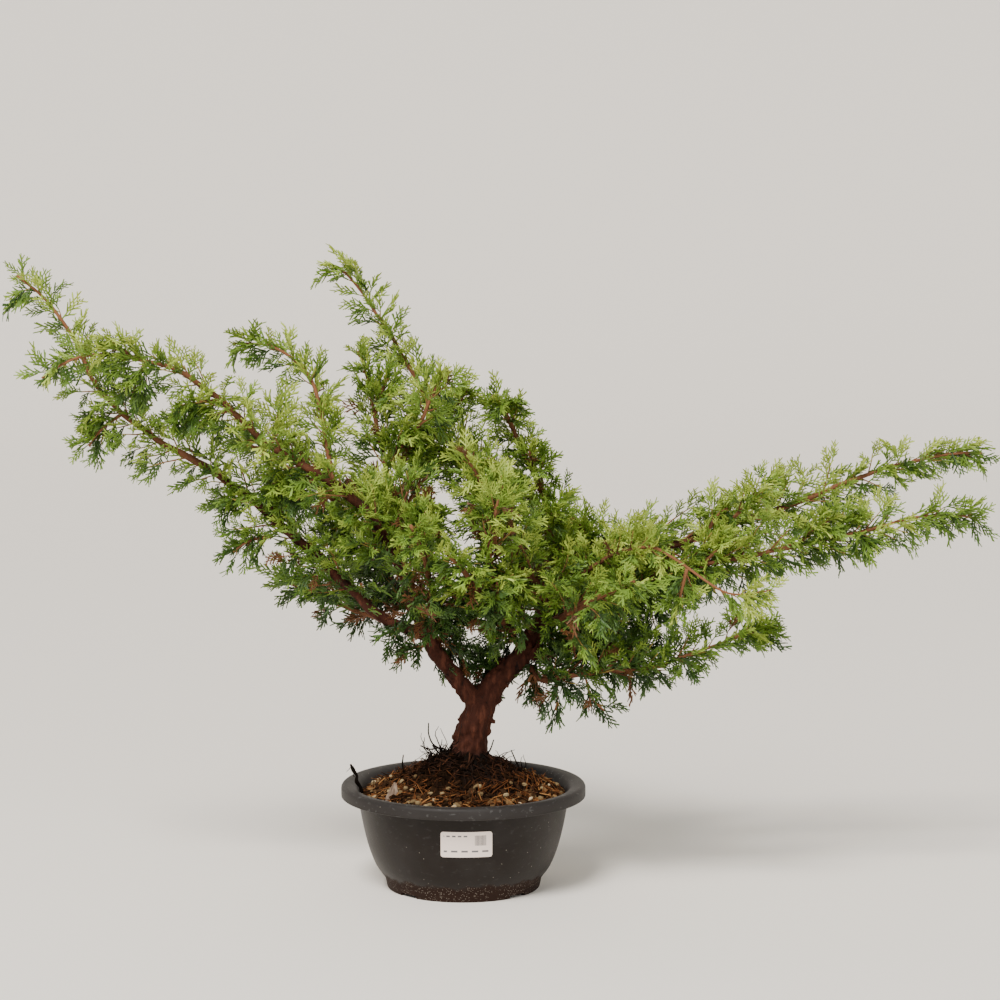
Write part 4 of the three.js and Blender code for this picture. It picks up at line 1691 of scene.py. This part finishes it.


# Each branch's name and habits, in the order of Branch's fields.
# The tones are lower on the back, low and hanging branches, which is partly painted shade.
BRANCHES = (
    ("lower_left", 0.15, 0.054, 0.12, 0.00, 0.39, False, 0.02, (0.0, 0.0), 1.0, 0.0063),
    ("upper_left", 0.12, 0.052, 0.10, 0.10, 0.48, True, 0.02, (0.0, 0.0), 1.0, 0.0060),
    ("top", 0.22, 0.044, 0.00, 0.35, 0.42, True, 0.02, (0.0, 0.0), 0.9, 0.0066),
    ("upper_right", 0.05, 0.060, 0.00, 0.30, 0.48, True, 0.02, (0.0, 0.0), 1.0, 0.0052),
    ("lower_right", 0.06, 0.054, 0.00, 0.35, 0.40, False, 0.02, (0.0, 0.0), 0.85, 0.0050),
    ("low_right", 0.10, 0.046, -0.34, 0.10, 0.29, False, 0.03, (0.0, 0.0), 0.85),
    ("inner_top", 0.08, 0.050, 0.00, 0.25, 0.40, True),
    ("mid_left", 0.08, 0.048, 0.10, 0.10, 0.42, True),
    ("upright_left", 0.10, 0.026, 0.00, 0.00, 0.42, False),
    ("short_left", 0.20, 0.026, 0.00, 0.00, 0.46, True),
    ("back_arch", 0.12, 0.052, 0.00, 0.20, 0.38, True),
    ("front_centre", 0.20, 0.068, 0.00, 0.10, 0.54, True),
    ("centre", 0.20, 0.068, 0.00, 0.10, 0.50, True, 0.08),
    ("bare_front", 0.14, 0.036, 0.00, 0.00, 0.64, True, 0.00, (0.56, 0.80), 0.72),
    ("front_left", 0.04, 0.060, 0.15, 0.00, 0.38, False),
    ("front_middle", 0.18, 0.060, 0.10, 0.10, 0.42, False, 0.06),
    ("front_right", 0.14, 0.064, 0.10, 0.20, 0.40, False, 0.14),
    ("back_left", 0.04, 0.066, 0.15, 0.10, 0.30, False),
    ("back_middle", 0.06, 0.064, 0.15, 0.10, 0.32, False, 0.08),
    ("back_right", 0.04, 0.070, 0.15, 0.30, 0.36, False, 0.12),
    ("back_low_left", 0.28, 0.024, 0.00, 0.00, 0.26, False),
    ("first_hanging", 0.20, 0.010, 0.20, 0.00, 0.16, False, 0.02, (0.0, 0.0), 0.8, 0.0095),
    ("second_hanging", 0.30, 0.006, 0.10, 0.00, 0.20, False, 0.02, (0.0, 0.0), 0.8, 0.0150),
)

# Sprays that grow from the limbs and main branches inside the crown: start and end from the
# bowl's axis in metres, length of the side twigs, droop and tone.
# Sprays low and near the trunk have lower tones, which is partly painted shade.
INNER_SPRAYS = (
    ((-0.036, -0.012, 0.242), (-0.076, -0.022, 0.224), 0.010, 0.30, 0.10),
    ((-0.024, 0.004, 0.244), (0.014, 0.014, 0.222), 0.016, 0.25, 0.10),
    ((-0.030, -0.008, 0.246), (0.004, -0.010, 0.248), 0.028, 0.30, 0.14),
    ((0.052, 0.034, 0.240), (0.014, 0.022, 0.218), 0.024, 0.30, 0.12),
    ((0.060, 0.020, 0.248), (0.012, -0.004, 0.256), 0.024, 0.12, 0.22),
    ((0.046, 0.030, 0.226), (0.016, 0.022, 0.196), 0.022, 0.30, 0.10),
    ((-0.012, -0.002, 0.216), (0.010, 0.006, 0.203), 0.012, 0.20, 0.12),
    ((0.090, -0.016, 0.212), (0.116, -0.020, 0.204), 0.008, 0.20, 0.14),
    ((0.072, 0.016, 0.250), (0.110, -0.006, 0.240), 0.030, 0.40, 0.14),
    ((0.080, 0.020, 0.262), (0.138, 0.006, 0.250), 0.036, 0.35, 0.18),
    ((0.080, 0.016, 0.256), (0.172, -0.010, 0.262), 0.040, 0.45, 0.20),
    ((0.084, 0.026, 0.262), (0.150, 0.060, 0.240), 0.040, 0.35, 0.12),
    ((0.066, 0.012, 0.238), (0.098, 0.024, 0.222), 0.024, 0.40, 0.08),
    ((0.100, 0.030, 0.284), (0.172, 0.070, 0.328), 0.032, 0.00, 0.40),
    ((0.110, 0.020, 0.292), (0.206, 0.010, 0.348), 0.030, 0.00, 0.50),
    ((0.090, 0.014, 0.290), (0.130, -0.020, 0.344), 0.036, 0.00, 0.52),
    ((-0.060, -0.020, 0.320), (-0.020, -0.050, 0.392), 0.044, 0.00, 0.50),
    ((-0.068, -0.024, 0.340), (-0.040, 0.010, 0.424), 0.040, 0.00, 0.44),
    ((-0.040, -0.014, 0.268), (-0.004, -0.060, 0.286), 0.036, 0.20, 0.34),
    ((0.150, -0.012, 0.292), (0.206, -0.030, 0.262), 0.034, 0.40, 0.22),
    ((0.190, -0.026, 0.318), (0.236, -0.040, 0.300), 0.024, 0.30, 0.36),
    ((0.140, -0.034, 0.223), (0.200, -0.020, 0.256), 0.026, 0.10, 0.24),
    ((0.100, -0.020, 0.214), (0.156, 0.000, 0.244), 0.034, 0.10, 0.14),
    ((0.110, 0.034, 0.290), (0.120, 0.044, 0.372), 0.036, 0.00, 0.46),
    ((0.240, 0.050, 0.344), (0.270, 0.020, 0.378), 0.030, 0.00, 0.50),
    ((0.230, -0.034, 0.322), (0.266, -0.060, 0.350), 0.032, 0.00, 0.50),
    ((0.264, -0.010, 0.368), (0.316, -0.020, 0.406), 0.030, 0.00, 0.50),
    ((0.050, 0.070, 0.344), (0.010, 0.050, 0.420), 0.044, 0.00, 0.46),
    ((0.010, 0.090, 0.396), (-0.060, 0.060, 0.440), 0.044, 0.00, 0.46),
    ((-0.060, 0.000, 0.336), (-0.112, 0.020, 0.402), 0.032, 0.00, 0.44),
    ((-0.148, -0.030, 0.410), (-0.206, -0.044, 0.388), 0.028, 0.20, 0.44),
    ((-0.040, 0.000, 0.462), (-0.006, 0.000, 0.520), 0.034, 0.00, 0.48),
    ((-0.186, -0.026, 0.352), (-0.232, -0.040, 0.330), 0.014, 0.30, 0.24),
    ((-0.230, -0.060, 0.488), (-0.290, -0.080, 0.462), 0.034, 0.20, 0.50),
    ((-0.328, -0.038, 0.472), (-0.368, -0.046, 0.428), 0.022, 0.20, 0.38),
    ((-0.223, -0.059, 0.478), (-0.262, -0.056, 0.452), 0.028, 0.15, 0.44),
    ((-0.139, -0.042, 0.412), (-0.180, -0.040, 0.366), 0.026, 0.10, 0.42),
    ((-0.300, -0.072, 0.526), (-0.320, -0.066, 0.474), 0.022, 0.10, 0.44),
    ((-0.312, -0.075, 0.529), (-0.352, -0.080, 0.548), 0.018, 0.00, 0.50),
    ((-0.077, 0.062, 0.408), (-0.014, 0.040, 0.470), 0.034, 0.00, 0.42),
    ((-0.020, 0.105, 0.439), (0.006, 0.080, 0.500), 0.034, 0.00, 0.42),
    ((-0.089, 0.082, 0.457), (-0.068, 0.080, 0.510), 0.026, 0.00, 0.44),
    ((-0.052, -0.016, 0.300), (-0.020, -0.060, 0.372), 0.040, 0.00, 0.52),
    ((0.090, 0.020, 0.300), (0.086, -0.020, 0.392), 0.040, 0.00, 0.52),
    ((0.159, 0.047, 0.316), (0.188, 0.010, 0.354), 0.020, 0.00, 0.48),
    ((0.320, -0.044, 0.344), (0.384, -0.052, 0.378), 0.026, 0.05, 0.48),
    ((0.376, -0.046, 0.357), (0.396, -0.050, 0.336), 0.014, 0.15, 0.44),
    ((0.258, -0.061, 0.256), (0.316, -0.068, 0.264), 0.014, 0.00, 0.42),
    ((0.207, -0.050, 0.235), (0.230, -0.058, 0.218), 0.009, 0.20, 0.30),
    ((0.072, 0.096, 0.393), (0.062, 0.070, 0.434), 0.018, 0.00, 0.42),
    ((0.214, -0.094, 0.330), (0.204, -0.092, 0.276), 0.024, 0.10, 0.60),
    ((0.070, -0.002, 0.210), (0.076, -0.010, 0.178), 0.010, 0.20, 0.14),
    ((0.068, 0.000, 0.212), (0.060, -0.012, 0.192), 0.008, 0.30, 0.12),
    ((0.030, 0.016, 0.214), (0.012, 0.030, 0.226), 0.016, 0.20, 0.12),
    ((0.050, 0.104, 0.441), (0.028, 0.060, 0.480), 0.026, 0.00, 0.46),
    ((-0.060, -0.018, 0.262), (-0.080, -0.030, 0.242), 0.014, 0.10, 0.16),
    ((-0.100, -0.017, 0.292), (-0.098, -0.030, 0.318), 0.016, 0.00, 0.30),
    ((-0.204, -0.028, 0.388), (-0.246, -0.036, 0.374), 0.012, 0.10, 0.36),
)


@dataclass
class Crown:
    """All the branches with their foliage."""

    kinds: int = 8
    groups: int = 3
    branch_seed: int = 40
    inner_seed: int = 300

    def build(self) -> None:
        """Grows every branch in turn, then the sprays inside the crown."""
        sprigs = [Sprig.grown(seed) for seed in range(self.kinds)]
        for index, habit in enumerate(BRANCHES):
            branch = Branch(*habit, line=CentreLine.of_node(habit[0] + "_branch"))
            timber, foliage = branch.grow(sprigs, self.branch_seed + index)
            for piece, node, slot in (
                (timber, "_branch", "red_bark"),
                (foliage, "_foliage", "young_leaves" if branch.young else "mature_leaves"),
            ):
                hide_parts(branch.name + node)
            LOG.info("%s: %d + %d faces", branch.name, face_count(timber), face_count(foliage))
        parts = [self.inner_spray(number, spray, sprigs) for number, spray in enumerate(INNER_SPRAYS)]
        timber = joined([wood for wood, _ in parts], "inner_wood")
        LOG.info("%s: %d faces", timber.name, face_count(timber))
        for first in range(self.groups):
            sprays = [leaves for _, leaves in parts[first::self.groups]]
            foliage = joined(sprays, f"inner_sprays_{first + 1}")
            LOG.info("%s: %d faces", foliage.name, face_count(foliage))

    def inner_spray(self, number: int, spray: tuple, sprigs: Sequence[Sprig]) -> tuple[Piece, Piece]:
        """One spray on the inner wood.

        Args:
            number: Its number, which also seeds it.
            spray: Its row of the table.
            sprigs: The sprigs to copy.

        Returns:
            The wood and the foliage.
        """
        start, end, reach, droop, tone = spray
        foot, tip = np.array(start) + np.array(AXIS), np.array(end) + np.array(AXIS)
        middle = (foot + tip) / 2 + (0, 0, 0.12 * np.linalg.norm(tip - foot))
        radii = np.array((0.0019, 0.0014, 0.0007))
        line = CentreLine(np.array([foot, middle, tip]), radii).smoothed(0.004)
        branch = Branch(f"inner_{number}", 0.1, reach, droop, 0.2, tone, dead=0.04, line=line)
        return branch.grow(sprigs, self.inner_seed + number)


# ---------------------------------------------------------------- studio


@dataclass
class Studio:
    """Camera, soft lights and a pale floor."""

    camera_offset: tuple[float, float, float] = (0.0361, -3.2946, 0.801)
    look_down: float = 7.215
    lens: float = 122.4
    floor_size: float = 26.0
    wall_height: float = 11.0
    warm: Colour = (1.0, 0.97, 0.93)

    def build(self) -> None:
        """Places the camera, the lights and the floor."""
        self.place_camera()
        self.hang_lights()
        self.lay_floor()

    def place_camera(self) -> None:
        """Sets the camera before the bowl, looking slightly down."""
        data = bpy.data.cameras.new("camera")
        data.lens = self.lens
        data.sensor_width = 36.0
        data.clip_end = 50.0
        camera = linked("camera", data)
        camera.location = AXIS + Vector(self.camera_offset)
        camera.rotation_euler = (math.radians(90 - self.look_down), 0, 0)
        bpy.context.scene.camera = camera

    def hang_lights(self) -> None:
        """Hangs two softboxes and a wide sun, in a pale sky."""
        self.softbox("key_light", (-1.1, -2.2, 2.4), 1.8, 70.0, self.warm)
        self.softbox("fill_light", (1.6, -2.6, 1.2), 2.0, 26.0, (1.0, 0.99, 0.97))
        sun = bpy.data.lights.new("overhead_light", "SUN")
        sun.energy, sun.angle, sun.color = 2.9, math.radians(18), self.warm
        overhead = linked("overhead_light", sun)
        overhead.rotation_euler = (math.radians(34), math.radians(-14), 0)
        world = bpy.data.worlds.new("studio")
        world.use_nodes = True
        background = world.node_tree.nodes["Background"]
        background.inputs["Color"].default_value = (0.80, 0.86, 0.90, 1)
        background.inputs["Strength"].default_value = 0.42
        bpy.context.scene.world = world

    def lay_floor(self) -> None:
        """Lays the floor and bends its far part up into a wall."""
        middle = (AXIS.x, AXIS.y - 0.25 * self.floor_size, 0)
        bpy.ops.object.select_all(action="DESELECT")
        bpy.ops.mesh.primitive_plane_add(size=self.floor_size, location=middle)
        floor = settle(bpy.context.object, "floor")
        bpy.ops.object.mode_set(mode="EDIT")
        bpy.ops.mesh.select_all(action="SELECT")
        bpy.ops.mesh.bisect(plane_co=(0, 0.24 * self.floor_size, 0), plane_no=(0, 1, 0))
        bpy.ops.object.mode_set(mode="OBJECT")
        corners = corners_of(floor)
        corners[:, 2] = np.where(corners[:, 1] > corners[:, 1].max() - 1e-3, self.wall_height, 0.0)
        back = np.partition(np.unique(np.round(corners[:, 1], 4)), -2)[-2]
        corners[:, 1] = np.minimum(corners[:, 1], back)
        move_corners(floor, corners)
        modify(floor, "BEVEL", width=2.5, segments=16, limit_method="ANGLE")
        activate(floor)
        bpy.ops.object.shade_smooth()
        FLOOR.dress(floor)

    def softbox(self, name: str, offset: tuple[float, float, float], size: float, power: float,
                colour: Colour) -> None:
        """Hangs a square area light that faces the middle of the crown.

        Args:
            name: The light's name.
            offset: Where it hangs, from the foot of the bowl's axis.
            size: Length of its side.
            power: Its power in watts.
            colour: Its colour.
        """
        data = bpy.data.lights.new(name, "AREA")
        data.size = size
        data.energy = power
        data.color = colour
        light = linked(name, data)
        light.location = AXIS + Vector(offset)
        aim = AXIS + Vector((0, 0, 0.3)) - light.location
        light.rotation_euler = aim.to_track_quat("-Z", "Y").to_euler()


def main() -> None:
    """Builds the whole plant, piece by piece."""
    noise.seed_set(NOISE_SEED)  # noise_vector would follow the clock without it
    logging.basicConfig(level=logging.INFO, format="%(name)s: %(message)s")
    Studio().build()
    bowl, soil = Bowl(), Soil()
    pieces = [bowl.build(), Sticker(bowl).build(), soil.build(), *soil.strew(), soil.chip(), *soil.roots()]
    for piece in [*pieces, TrunkWood().build()]:
        LOG.info("%s: %d faces", piece.name, face_count(piece))
    Crown().build()


if __name__ == "__main__":
    main()
